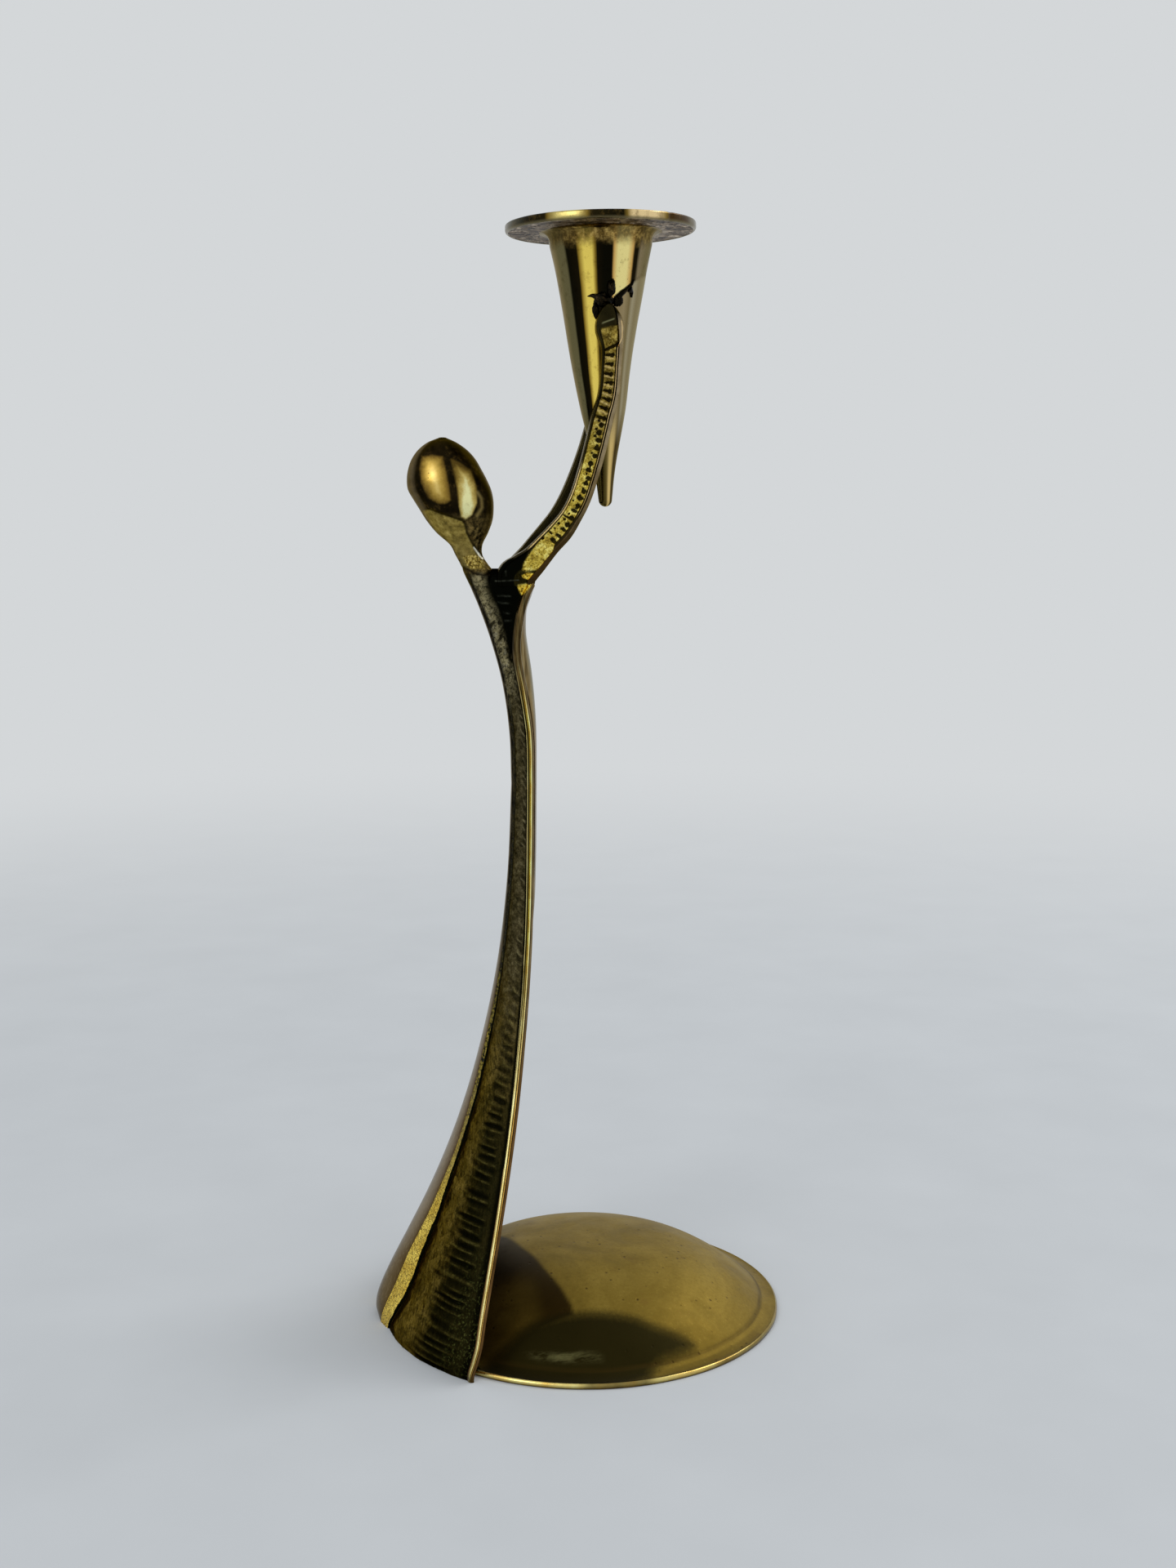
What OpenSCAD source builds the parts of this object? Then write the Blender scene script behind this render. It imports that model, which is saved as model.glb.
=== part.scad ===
// Candle holder: a slender standing figure in a flared gown lifts a conical candle cup
// with a drip pan over a round domed foot. All lengths in millimetres, +Z up.
// The figure faces +X. Its middle plane is Y = 0.

/* [Overall] */
// Height of the top of the drip pan above the table
total_h = 328; // [300:1:380]

/* [Foot] */
// Radius of the round foot
foot_r = 60; // [52:0.5:75]
// Thickness of the flat brim of the foot
brim_t = 1.6; // [1:0.1:3]
// Width of the flat brim of the foot
brim_w = 4; // [2:0.5:8]
// Rise of the dome above the brim
dome_rise = 19.6; // [8:0.2:30]
// Thickness of the sheet of the dome
dome_t = 1.8; // [1:0.1:3]
// Fullness of the dome: 2 is a parabola, more is flatter on top
dome_power = 2.7; // [2:0.1:4]
// Running gap between the edge of the foot and the gown
foot_gap = 0.2; // [0.1:0.05:0.5]

/* [Gown] */
// Thickness of the gown at its hem
hem_wall = 5.2; // [4.8:0.1:8]
// Half of the angle that the hem wraps round the foot
hem_angle = 51; // [40:1:65]
// Width of the raised rim along each front edge of the gown
rim_w = 2; // [1.2:0.1:3]
// Thickness of the front edges of the gown, halfway up
edge_t = 3.4; // [2.4:0.1:5]
// Depth of the side panels below the rim
rim_step = 0.8; // [0.3:0.1:1.4]
// Depth of the side panels beside the back band, at its deepest
panel_depth = 4.6; // [2:0.1:5]
// Half width of the back band above the hem
band_half = 7; // [4:0.5:9]
// Half width of the back band at the waist
band_half_waist = 2.8; // [1.5:0.1:3.2]
// How far the crown of the back band stands above its edges
band_crown = 3.5; // [1:0.1:4]
// Width of the slope beside the back band, at its widest
slope_w = 5; // [2:0.5:7]

/* [Body] */
// Rise of the stem, from the waist up to the shoulders
stem_rise = 59; // [45:1:75]
// Distance of the front of the waist behind the middle of the foot
waist_front = 14.9; // [8:0.1:22]
// Depth of the waist from front to back
waist_d = 7.6; // [6:0.1:12]
// Depth of the front column of the waist, in front of the side panels
waist_column = 2.9; // [2:0.1:4]
// Width of the waist
waist_w = 9; // [7.5:0.5:14]
// Width of the shoulders
shoulder_w = 12; // [11:0.5:18]
// How far the shoulders lean back from the waist
shoulder_lean = 11.9; // [10:0.1:14]
// Depth of the bend above the waist
chest_sway = 4.2; // [3:0.1:5]

/* [Head] */
// Height of the head and neck above the shoulders
head_h = 42.8; // [36:0.2:50]
// Depth of the head and neck from front to back
head_d = 25.2; // [22:0.2:30]
// Width of the head
head_w = 21; // [16:0.5:26]
// Depth of the neck where it stands on the shoulders
neck_d = 8.2; // [6:0.1:9]
// Width of the neck where it stands on the shoulders
neck_w = 7.6; // [5:0.1:9]

/* [Arms] */
// Depth of an arm, seen from the side
arm_d = 6.9; // [5:0.1:9]
// Depth of the bends that the left arm makes beside the right arm's line
arm_bend = 1.2; // [0:0.1:2]
// Thickness of an arm
arm_t = 4.6; // [3.4:0.1:6]
// Depth of the channel along the outside of an arm
channel_d = 0.7; // [0.3:0.1:1.2]
// Width of the ridges that border the channel
ridge_w = 1; // [0.6:0.1:1.6]
// Distance between the middles of the arms where they pass the tip of the cup
arm_spread = 18; // [15:0.2:22]
// Clearance between the hands and the cup, which the brazing fills
hand_gap = 0.1; // [0.05:0.05:0.3]
// Distance of the fingertips below the top of the drip pan
hand_drop = 24; // [20:0.5:32]
// Rise of the arms, from the shoulders up to the fingertips
arm_rise = 80; // [72:1:90]

/* [Candle cup] */
// Radius of the candle bore
bore_r = 11.2; // [9:0.1:11.6]
// Depth of the candle bore
bore_depth = 18; // [12:0.5:19]
// Depth of the cone that the drill leaves under the bore
drill_tip = 5; // [2:0.5:8]
// Outer radius of the cup under the drip pan
cup_r = 15.2; // [14.4:0.1:18]
// Length of the cup from its tip to the top of the drip pan
cup_h = 81; // [70:1:95]
// Radius of the rounded tip
tip_r = 2; // [1.2:0.1:3]
// Distance of the cup's axis in front of the middle of the foot, at the hands
cup_x = 4.85; // [2:0.05:12]
// How far the cup leans back, in degrees
cup_tilt = 1.1; // [0:0.1:3]

/* [Drip pan] */
// Radius of the drip pan
pan_r = 27.7; // [22:0.1:34]
// Thickness of the drip pan
pan_t = 2.5; // [1.6:0.1:4]
// Radius of the hole in the drip pan
pan_hole_r = 13.4; // [13:0.1:14]
// Clearance between the cup's neck and the hole in the drip pan
pan_gap = 0.05; // [0.02:0.01:0.1]
// Radius of the soft corners of the drip pan's edge
pan_round = 0.6; // [0.2:0.1:0.8]
// Height and width of the fillet between the cup and the drip pan
pan_fillet = 2.6; // [1:0.1:4]

/* [Brazing] */
// Width and height of the seam between the foot and the gown
foot_seam = 1.6; // [0.8:0.1:2]
// Radius of the brazing drop at each hand
drop_r = 3.2; // [2.4:0.1:4]
// Distance of the middle of the drop above the fingertips
drop_rise = 1.6; // [0.5:0.1:2.5]

/* [Hidden] */
$fn = 96;

// Steps of the lofted surfaces
body_steps = 46;
head_steps = 20;
head_sides = 28;
arm_steps = 34;
band_steps = 5;
panel_steps = 7;
front_steps = 8;
dome_steps = 24;
tip_steps = 6;
cup_steps = 20;
drop_steps = 32;

// Shape of the gown's panels and of the arms' outline
body_bunch = 1.25;
panel_power = 0.7;
lip_share = 0.06;
band_top_share = 0.8;
slope_top_share = 0.9;
flat_turn = 1;
corner_share = 0.45;
corner_mid_share = 1 - cos(45);
ridge_share = 0.33;
crest_share = 0.6;
path_share = 0.05;
drop_out_share = 0.33;
neck_share = neck_d / head_d;
neck_half_share = neck_w / head_w;

// The hem follows the foot
hem_inner_r = foot_r + foot_gap;
hem_r = hem_inner_r + hem_wall;
hem_rim_x = hem_r * cos(hem_angle);
hem_half_w = hem_r * sin(hem_angle);
dome_r = foot_r - brim_w;
waist_back = waist_front + waist_d;
waist_ridge = waist_front + waist_column;

// The inside of the gown stands straight beside the foot and its seam, and flares above them
seam_top = brim_t + foot_seam;

// The origin is the middle of the space that the holder takes on the table
frame_x = (hem_r - foot_r) / 2;

// The back of the head stands over the back of the shoulders
shoulder_back = waist_back + shoulder_lean;

// Places in the candle cup, measured from its tip
cup_under = cup_h - pan_t;
cup_side_h = cup_under - pan_fillet;
cup_neck_r = pan_hole_r - pan_gap;

// Heights above the table, from the top down. The neck and the arms start at the shoulders.
cup_z = total_h - cup_h;
hand_z = total_h - hand_drop;
shoulder_z = hand_z - arm_rise;
waist_z = shoulder_z - stem_rise;

// Lines of the body: share of the way up, share of the flare or sway.
// Heights below the waist are shares of the waist's height, and for the front they are
// shares of the way from the top of the seam to the waist.
back_flare_shares = [[0, 0.981], [0.018, 1], [0.048, 0.979], [0.097, 0.896], [0.164, 0.76],
    [0.248, 0.596], [0.339, 0.447], [0.436, 0.318], [0.533, 0.216], [0.63, 0.134],
    [0.727, 0.074], [0.848, 0.027], [1, 0]];
rim_flare_shares = [[0, 1], [0.014, 0.99], [0.033, 0.945], [0.059, 0.89], [0.097, 0.832],
    [0.164, 0.713], [0.248, 0.56], [0.339, 0.417], [0.436, 0.291], [0.533, 0.192],
    [0.63, 0.112], [0.727, 0.056], [0.848, 0.02], [1, 0]];
width_flare_shares = [[0, 0.978], [0.014, 0.98], [0.033, 0.975], [0.059, 0.955], [0.097, 0.892],
    [0.164, 0.765], [0.248, 0.6], [0.339, 0.45], [0.436, 0.32], [0.533, 0.217],
    [0.63, 0.135], [0.727, 0.074], [0.848, 0.027], [1, 0]];
front_flare_shares = [[0, 1], [0.029, 0.955], [0.079, 0.85], [0.148, 0.725], [0.233, 0.575],
    [0.326, 0.45], [0.425, 0.335], [0.524, 0.25], [0.623, 0.165], [0.697, 0.08],
    [0.753, 0.028], [0.845, 0.008], [1, 0]];
wrap_shares = [[0, 0], [0.248, 0.36], [0.533, 0.744], [0.848, 1], [1, 1]];
edge_shares = [[0, 1.2], [0.014, 1.2], [0.1, 1.15], [0.339, 1], [0.533, 0.7], [0.727, 0.25],
    [0.848, 0.1], [1, 0.1]];
band_crown_shares = [[0, 0.35], [0.048, 0.92], [0.097, 1], [0.17, 0.66], [0.27, 0.46],
    [0.36, 0.32], [0.5, 0.18], [0.727, 0.14], [1, 0.12]];
band_width_shares = [[0, 0.72], [0.048, 0.94], [0.097, 1], [0.27, 1], [0.36, 0.9],
    [0.5, 0.64], [0.727, 0.24], [1, 0]];
slope_width_shares = [[0, 1], [0.097, 0.9], [0.17, 0.8], [0.27, 0.42], [0.36, 0.32],
    [0.5, 0.24], [0.727, 0.18], [1, 0.15]];
panel_depth_shares = [[0, 0.7], [0.048, 0.93], [0.097, 1], [0.17, 0.95], [0.27, 0.6],
    [0.36, 0.46], [0.5, 0.3], [0.727, 0.22], [1, 0.2]];

// Heights above the waist are shares of the way from the waist to the shoulders
lean_shares = [[0, 0], [0.254, 0.04], [0.508, 0.207], [0.729, 0.494], [0.898, 0.789], [1, 1]];
ridge_sway_shares = [[0, 0], [0.254, 0.07], [0.458, 0.476], [0.678, 1], [0.847, 0.76],
    [0.949, 0.36], [1, 0]];
nose_sway_shares = [[0, 0], [0.254, 0], [0.407, 0.1], [0.576, 0.33], [0.746, 0.68],
    [0.831, 0.71], [0.898, 0.6], [1, -0.03]];
shoulder_shares = [[0, 0], [0.254, 0.02], [0.508, 0.13], [0.729, 0.47], [0.898, 0.87], [1, 1]];

// Head and neck: share of the height, then shares of the head's depth behind the back of the
// shoulders for the front and for the back outline, and shares of the head's width
head_front_shares = [[0, -neck_share], [0.09, -0.286], [0.15, -0.21], [0.21, -0.151],
    [0.28, -0.154], [0.36, -0.219], [0.44, -0.269], [0.51, -0.284], [0.58, -0.282],
    [0.65, -0.258], [0.72, -0.207], [0.79, -0.144], [0.86, -0.074], [0.92, 0.02],
    [0.97, 0.143], [1, 0.256]];
head_back_shares = [[0, 0], [0.09, 0.071], [0.15, 0.111], [0.21, 0.166], [0.28, 0.23],
    [0.36, 0.381], [0.44, 0.492], [0.51, 0.567], [0.58, 0.643], [0.65, 0.706], [0.72, 0.718],
    [0.79, 0.701], [0.86, 0.656], [0.92, 0.581], [0.97, 0.471], [1, 0.346]];
head_width_shares = [[0, neck_half_share], [0.09, neck_half_share], [0.15, neck_half_share],
    [0.21, 0.37], [0.28, 0.42], [0.36, 0.6], [0.44, 0.8], [0.51, 0.92], [0.58, 0.99],
    [0.65, 1], [0.72, 0.97], [0.79, 0.87], [0.86, 0.72], [0.92, 0.53], [0.97, 0.3], [1, 0.1]];

// Arms: shares of the reach from the shoulders to the fingertips, forwards and upwards, then
// the depth and the thickness as shares of the arm's, how far it has spread, how far it has
// come to lie against the cup, and the left arm's bends as shares of their depth
arm_shares = [
    [0, 0, 1.68, 1.3, 0, 0, 0], [0.005, 0.029, 1.86, 1.3, 0.03, 0, 0],
    [0.095, 0.061, 1.54, 1.25, 0.13, 0, -0.2], [0.205, 0.094, 1.3, 1.15, 0.28, 0, -0.5],
    [0.348, 0.146, 1.17, 1.05, 0.5, 0, -0.85], [0.494, 0.198, 1.13, 1, 0.72, 0, -1],
    [0.61, 0.256, 0.97, 1, 0.87, 0, -0.95], [0.713, 0.324, 0.95, 1, 0.94, 0, -0.6],
    [0.805, 0.414, 0.96, 1, 0.98, 0, 0.1], [0.885, 0.506, 0.98, 1, 1, 0, 0.7],
    [0.965, 0.609, 0.98, 1, 1, 0.18, 1], [1.03, 0.688, 0.93, 1, 1, 0.38, 1],
    [1.05, 0.787, 0.92, 1, 1, 0.75, 0.6], [1.05, 0.854, 0.98, 1, 1, 1, 0.2],
    [1.02, 0.915, 1.22, 1, 1, 1, 0], [1.015, 0.955, 1.04, 0.95, 1, 1, 0],
    [1.02, 0.986, 0.6, 0.8, 1, 1, 0], [1.03, 1, 0.15, 0.6, 1, 1, 0]];

// The cup: share of the way from the tip's round to the drip pan, share of the mouth's radius
cup_shares = [[0, 0.135], [0.09, 0.185], [0.17, 0.25], [0.28, 0.365], [0.36, 0.445],
    [0.5, 0.555], [0.62, 0.65], [0.7, 0.715], [0.78, 0.785], [0.9, 0.89], [1, 1]];

// Smooth curve through a list of places and values
function span(t, list, i = 0) =
    i >= len(list) - 2 || t < list[i + 1][0] ? i : span(t, list, i + 1);
function rate(list, i, k) =
    let(a = max(i - 1, 0), b = min(i + 1, len(list) - 1))
    (list[b][k] - list[a][k]) / (list[b][0] - list[a][0]);
function along(t, list, k = 1) =
    let(i = span(t, list), w = list[i + 1][0] - list[i][0], s = (t - list[i][0]) / w,
        ma = rate(list, i, k) * w, mb = rate(list, i + 1, k) * w)
    list[i][k] * (2 * s ^ 3 - 3 * s ^ 2 + 1) + ma * (s ^ 3 - 2 * s ^ 2 + s)
    + list[i + 1][k] * (3 * s ^ 2 - 2 * s ^ 3) + mb * (s ^ 3 - s ^ 2);
function mix(a, b, t) = a + (b - a) * t;
function below(z, list, low = 0) =
    z < waist_z ? along(max((z - low) / (waist_z - low), 0), list) : list[len(list) - 1][1];
function above(z, list) = z > waist_z ? along((z - waist_z) / stem_rise, list) : 0;

// Outlines of the body at a height, as distances behind the middle of the foot
function back_x(z) =
    mix(waist_back, hem_r, below(z, back_flare_shares)) + shoulder_lean * above(z, lean_shares);
function ridge_x(z) =
    mix(waist_ridge, hem_rim_x, below(z, rim_flare_shares))
    + chest_sway * above(z, ridge_sway_shares);
function front_x(z) =
    mix(waist_front, hem_inner_r, below(z, front_flare_shares, seam_top))
    + chest_sway * above(z, nose_sway_shares);
function half_w(z) =
    mix(waist_w / 2, hem_half_w, below(z, width_flare_shares))
    + (shoulder_w - waist_w) / 2 * above(z, shoulder_shares);
function wrap(z) = mix(hem_angle, 90, below(z, wrap_shares));
function band_w(z) = mix(band_half_waist, band_half, below(z, band_width_shares));

// One half of the body's outline at a height, from the middle of the back to the front
function body_half(z) =
    let(w = half_w(z), turn = wrap(z), b = w / sin(turn),
        a = (back_x(z) - ridge_x(z)) / (1 - cos(turn)),
        crown = band_crown * below(z, band_crown_shares),
        deep = panel_depth * below(z, panel_depth_shares),
        band_a = asin(min(band_w(z) / b, band_top_share)),
        slope_b = band_w(z) + slope_w * below(z, slope_width_shares),
        slope_a = asin(min(slope_b / b, slope_top_share)),
        lip_a = mix(turn, slope_a, lip_share),
        edge = edge_t * below(z, edge_shares),
        skin = function(t, off)
            let(n = [b * cos(t), -a * sin(t)], u = n / norm(n))
            [a * (1 - cos(t)) - back_x(z), b * sin(t)] + off * u,
        ahead = [a * sin(turn), b * cos(turn)], step = ahead / norm(ahead),
        rim = skin(turn, 0) + rim_w * step,
        lip = rim - [0, edge / step[0]],
        hollow = 2 * atan((lip[0] + front_x(z)) / lip[1]),
        front_turn = abs(hollow) < flat_turn ? flat_turn : hollow,
        front_r = lip[1] / sin(front_turn))
    concat(
        [for (i = [0:band_steps]) skin(band_a * i / band_steps, crown * (i / band_steps) ^ 2)],
        [for (i = [0:panel_steps])
            let(s = i / panel_steps)
            skin(mix(slope_a, lip_a, s), mix(deep, rim_step, s ^ panel_power))],
        [skin(turn, 0), rim],
        [for (i = [0:front_steps])
            let(t = front_turn * (1 - i / front_steps))
            [front_r * (1 - cos(t)) - front_x(z), front_r * sin(t)]]);

// A closed outline from one half of it
function both_halves(half) =
    concat(half, [for (i = [len(half) - 2:-1:1]) [half[i][0], -half[i][1]]]);

// A solid between outlines that all have the same number of points
module loft(rings) {
    n = len(rings[0]);
    m = len(rings);
    points = [for (ring = rings) each ring];
    sides = [for (j = [0:m - 2]) for (i = [0:n - 1])
        each [[j * n + i, (j + 1) * n + i, j * n + (i + 1) % n],
              [j * n + (i + 1) % n, (j + 1) * n + i, (j + 1) * n + (i + 1) % n]]];
    bottom = [for (i = [0:n - 1]) i];
    top = [for (i = [n - 1:-1:0]) (m - 1) * n + i];
    polyhedron(points, concat([bottom], sides, [top]), convexity = 8);
}

// Heights of the body's outlines: the table, the top of the seam, then up to the shoulders,
// closer together near the hem
function body_z(i) =
    i == 0 ? 0
    : seam_top + (shoulder_z - seam_top) * ((i - 1) / (body_steps - 1)) ^ body_bunch;

module body_shape() {
    loft([for (i = [0:body_steps])
        let(z = body_z(i))
        [for (p = both_halves(body_half(z))) [p[0] + frame_x, p[1], z]]]);
}

// The foot: a domed sheet with a flat brim
module foot_profile() {
    polygon(concat(
        [[foot_r, 0], [foot_r, brim_t]],
        [for (i = [dome_steps:-1:0])
            let(s = i / dome_steps)
            [dome_r * s, brim_t + dome_rise * (1 - s ^ dome_power)]],
        [for (i = [0:dome_steps])
            let(s = i / dome_steps)
            [(dome_r - dome_t) * s, max(brim_t + dome_rise * (1 - s ^ dome_power) - dome_t, 0)]]));
}

module foot() {
    color("darkgoldenrod") translate([frame_x, 0, 0]) rotate_extrude() foot_profile();
}

module body() {
    color("olive") body_shape();
}

// An outline across the head or the neck
function head_ring(s) =
    let(front = shoulder_back + head_d * along(s, head_front_shares),
        back = shoulder_back + head_d * along(s, head_back_shares),
        half = head_w / 2 * along(s, head_width_shares))
    [for (i = [0:head_sides - 1])
        let(t = 360 * i / head_sides)
        [frame_x - (front + back) / 2 + (back - front) / 2 * cos(t), -half * sin(t),
         shoulder_z + head_h * s]];

module head() {
    color("goldenrod") loft([for (i = [0:head_steps]) head_ring(i / head_steps)]);
}

// Side of the cup: radius and height above the tip, and the radius at a height of the holder
function cup_side(s) = [cup_r * along(s, cup_shares), mix(tip_r, cup_side_h, s)];
function cup_radius(z) = cup_side((z - cup_z - tip_r) / (cup_side_h - tip_r))[0];

// Forward reach of the arms, from the middle of their root to the cup's axis
root_x = (front_x(shoulder_z) + shoulder_back - neck_d) / 2;
reach_x = root_x + cup_x;

// The arms' roots touch in the middle plane, and their hands lie along the cup's sides
root_y = arm_t * arm_shares[0][3] / 2;
function arm_place(row, bend) =
    let(z = shoulder_z + row[1] * arm_rise,
        seat = cup_radius(z) + hand_gap + arm_t * row[3] / 2)
    [row[0] * reach_x - root_x + row[6] * bend,
     mix(mix(root_y, arm_spread / 2, row[4]), seat, row[5]), z];

// Rows of an arm: place, depth and thickness, each after its number
function arm_rows(bend) = [for (i = [0:len(arm_shares) - 1])
    let(row = arm_shares[i])
    concat([i], arm_place(row, bend), [row[2] * arm_d, row[3] * arm_t])];

// Outline across an arm: a block with round corners and a channel on its outer side
function arm_ring(t, rows) =
    let(here = [along(t, rows, 1), along(t, rows, 2), along(t, rows, 3)],
        lo = max(t - path_share, 0), hi = min(t + path_share, len(rows) - 1),
        run = [along(hi, rows, 1) - along(lo, rows, 1), along(hi, rows, 3) - along(lo, rows, 3)],
        go = t == 0 ? [0, 1] : run / norm(run),
        across = [go[1], -go[0]],
        d = along(t, rows, 4) / 2, w = along(t, rows, 5) / 2,
        r = min(d, w) * corner_share, c = r * corner_mid_share,
        ridge = min(ridge_w, d * ridge_share), dip = min(channel_d, w * ridge_share),
        crest = r + ridge * crest_share, bed = r + ridge,
        outline = [
            [-d, -w + r], [-d + c, -w + c], [-d + r, -w], [d - r, -w], [d - c, -w + c],
            [d, -w + r], [d, w - r], [d - c, w - c], [d - r, w], [d - crest, w],
            [d - bed, w - dip], [-d + bed, w - dip], [-d + crest, w], [-d + r, w],
            [-d + c, w - c], [-d, w - r]])
    [for (p = outline)
        [frame_x + here[0] + across[0] * p[0], here[1] + p[1], here[2] + across[1] * p[0]]];

module arm_shape(bend) {
    rows = arm_rows(bend);
    loft([for (i = [arm_steps:-1:0]) arm_ring((len(rows) - 1) * i / arm_steps, rows)]);
}

module left_arm() {
    color("gold") arm_shape(arm_bend);
}

module right_arm() {
    color("gold") mirror([0, 1, 0]) arm_shape(0);
}

// The cup and its drip pan lean back about the line between the hands
module on_cup_axis() {
    translate([frame_x + cup_x, 0, hand_z]) rotate([0, -cup_tilt, 0])
        translate([0, 0, cup_z - hand_z]) children();
}

// Half outline of the candle cup, from its rounded tip to the fillet under the drip pan
module cup_profile() {
    tip_end = cup_side(0);
    polygon(concat(
        [[0, 0]],
        [for (i = [1:tip_steps - 1])
            let(t = 90 * i / tip_steps)
            [tip_end[0] * sin(t), tip_r * (1 - cos(t))]],
        [for (i = [0:cup_steps]) cup_side(i / cup_steps)],
        [for (i = [1:tip_steps])
            let(t = 90 * i / tip_steps)
            [cup_r + pan_fillet * (1 - cos(t)), cup_side_h + pan_fillet * sin(t)]],
        [[cup_neck_r, cup_under], [cup_neck_r, cup_h], [bore_r, cup_h],
         [bore_r, cup_h - bore_depth], [0, cup_h - bore_depth - drill_tip]]));
}

module candle_cup() {
    color("khaki") on_cup_axis() rotate_extrude() cup_profile();
}

// The drip pan is a ring that fits over the neck of the cup
module pan_profile() {
    polygon([
        [pan_hole_r, 0], [pan_r - pan_round, 0], [pan_r, pan_round],
        [pan_r, pan_t - pan_round], [pan_r - pan_round, pan_t], [pan_hole_r, pan_t]]);
}

module drip_pan() {
    color("tan") on_cup_axis() translate([0, 0, cup_under]) rotate_extrude() pan_profile();
}

// A drop of brazing metal that sits on the fingertips and against the cup
tip_x = frame_x + arm_place(arm_shares[len(arm_shares) - 1], 0)[0];
module left_hand_braze() {
    color("dimgray") difference() {
        translate([tip_x, cup_radius(hand_z) + drop_r * drop_out_share, hand_z + drop_rise])
            sphere(r = drop_r, $fn = drop_steps);
        on_cup_axis() rotate_extrude() cup_profile();
        translate([tip_x - 2 * drop_r, 0, hand_z - 2 * drop_r])
            cube([4 * drop_r, total_h, 2 * drop_r]);
    }
}

module right_hand_braze() {
    mirror([0, 1, 0]) left_hand_braze();
}

// The seam runs along the corner between the brim of the foot and the gown
module foot_braze() {
    color("dimgray") translate([frame_x, 0, brim_t]) rotate([0, 0, 180 - hem_angle])
        rotate_extrude(angle = 2 * hem_angle)
            polygon([[foot_r - foot_seam, 0], [foot_r, 0], [foot_r, foot_seam]]);
}

foot();
body();
head();
right_arm();
left_arm();
candle_cup();
drip_pan();
right_hand_braze();
left_hand_braze();
foot_braze();
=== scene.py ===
import math
import random

import bmesh
import bpy
from mathutils import Matrix, Vector, noise


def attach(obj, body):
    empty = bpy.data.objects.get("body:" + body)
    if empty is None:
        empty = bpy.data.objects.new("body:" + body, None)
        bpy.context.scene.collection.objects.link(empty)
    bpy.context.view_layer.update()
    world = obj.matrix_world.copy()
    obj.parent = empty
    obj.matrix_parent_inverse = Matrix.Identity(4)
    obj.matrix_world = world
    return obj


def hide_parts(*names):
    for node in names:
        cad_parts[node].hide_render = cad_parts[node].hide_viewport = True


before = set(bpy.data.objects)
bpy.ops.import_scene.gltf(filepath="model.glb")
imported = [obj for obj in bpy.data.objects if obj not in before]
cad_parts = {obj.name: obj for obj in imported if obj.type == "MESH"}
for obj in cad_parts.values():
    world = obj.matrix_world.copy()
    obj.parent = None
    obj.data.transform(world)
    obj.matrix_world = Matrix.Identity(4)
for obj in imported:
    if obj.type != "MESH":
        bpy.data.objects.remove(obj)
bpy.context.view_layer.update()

# Sizes of the solids, in millimetres
MM = 0.001
FOOT_R, BRIM_T, BRIM_W, DOME_RISE, DOME_T, DOME_POWER = 60, 1.6, 4, 19.6, 1.8, 2.7
FOOT_GAP, HEM_WALL, HEM_ANGLE = 0.2, 5.2, 51
RIM_W, EDGE_T, RIM_STEP = 2, 3.4, 0.8
WAIST_Z, SHOULDER_Z = 165, 224
WAIST_FRONT, WAIST_D, WAIST_COLUMN, WAIST_W = 14.9, 7.6, 2.9, 9
SHOULDER_W, SHOULDER_LEAN, CHEST_SWAY = 12, 11.9, 4.2
HEAD_H, HEAD_D, HEAD_W, NECK_D, NECK_W = 42.8, 25.2, 21, 8.2, 7.6
ARM_D, ARM_BEND, ARM_T, ARM_SPREAD, HAND_GAP, HAND_Z = 6.9, 1.2, 4.6, 18, 0.1, 304
BORE_R, BORE_DEPTH, DRILL_TIP = 11.2, 18, 5
CUP_R, CUP_H, TIP_R, CUP_X, CUP_TILT = 15.2, 81, 2, 4.85, 1.1
PAN_R, PAN_T, PAN_HOLE_R, PAN_GAP, PAN_FILLET = 27.7, 2.5, 13.4, 0.05, 2.6
TOTAL_H = 328

HEM_IN = FOOT_R + FOOT_GAP
HEM_R = HEM_IN + HEM_WALL
HEM_RIM_X = HEM_R * math.cos(math.radians(HEM_ANGLE))
HEM_HALF = HEM_R * math.sin(math.radians(HEM_ANGLE))
FRAME_X = (HEM_R - FOOT_R) / 2
WAIST_BACK = WAIST_FRONT + WAIST_D
WAIST_RIDGE = WAIST_FRONT + WAIST_COLUMN
SHOULDER_BACK = WAIST_BACK + SHOULDER_LEAN
CUP_Z = TOTAL_H - CUP_H
CUP_UNDER = CUP_H - PAN_T
CUP_SIDE_H = CUP_UNDER - PAN_FILLET
SEAM_TOP = BRIM_T + 1.6

# Sizes that only the visual model has
BRIM_BLEND, BRIM_R, REST_R, DOME_GROOVE_R = 1.5, 0.7, 0.3, 54.6
NECK_BEVEL, BORE_BEVEL, PAN_LOW_R, PAN_TOP_R = 0.3, 0.4, 0.9, 0.6
LIP_W, CAP_H, CROWN_H = 0.45, 5, 0.14
RIB_PITCH, STEM_PITCH, RIM_GAP, RIM_SIDE = 2.3, 2.6, 0.345, 0.66
PAN_NICK = math.radians(307)
CAMERA_TURN = math.radians(8)

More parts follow.
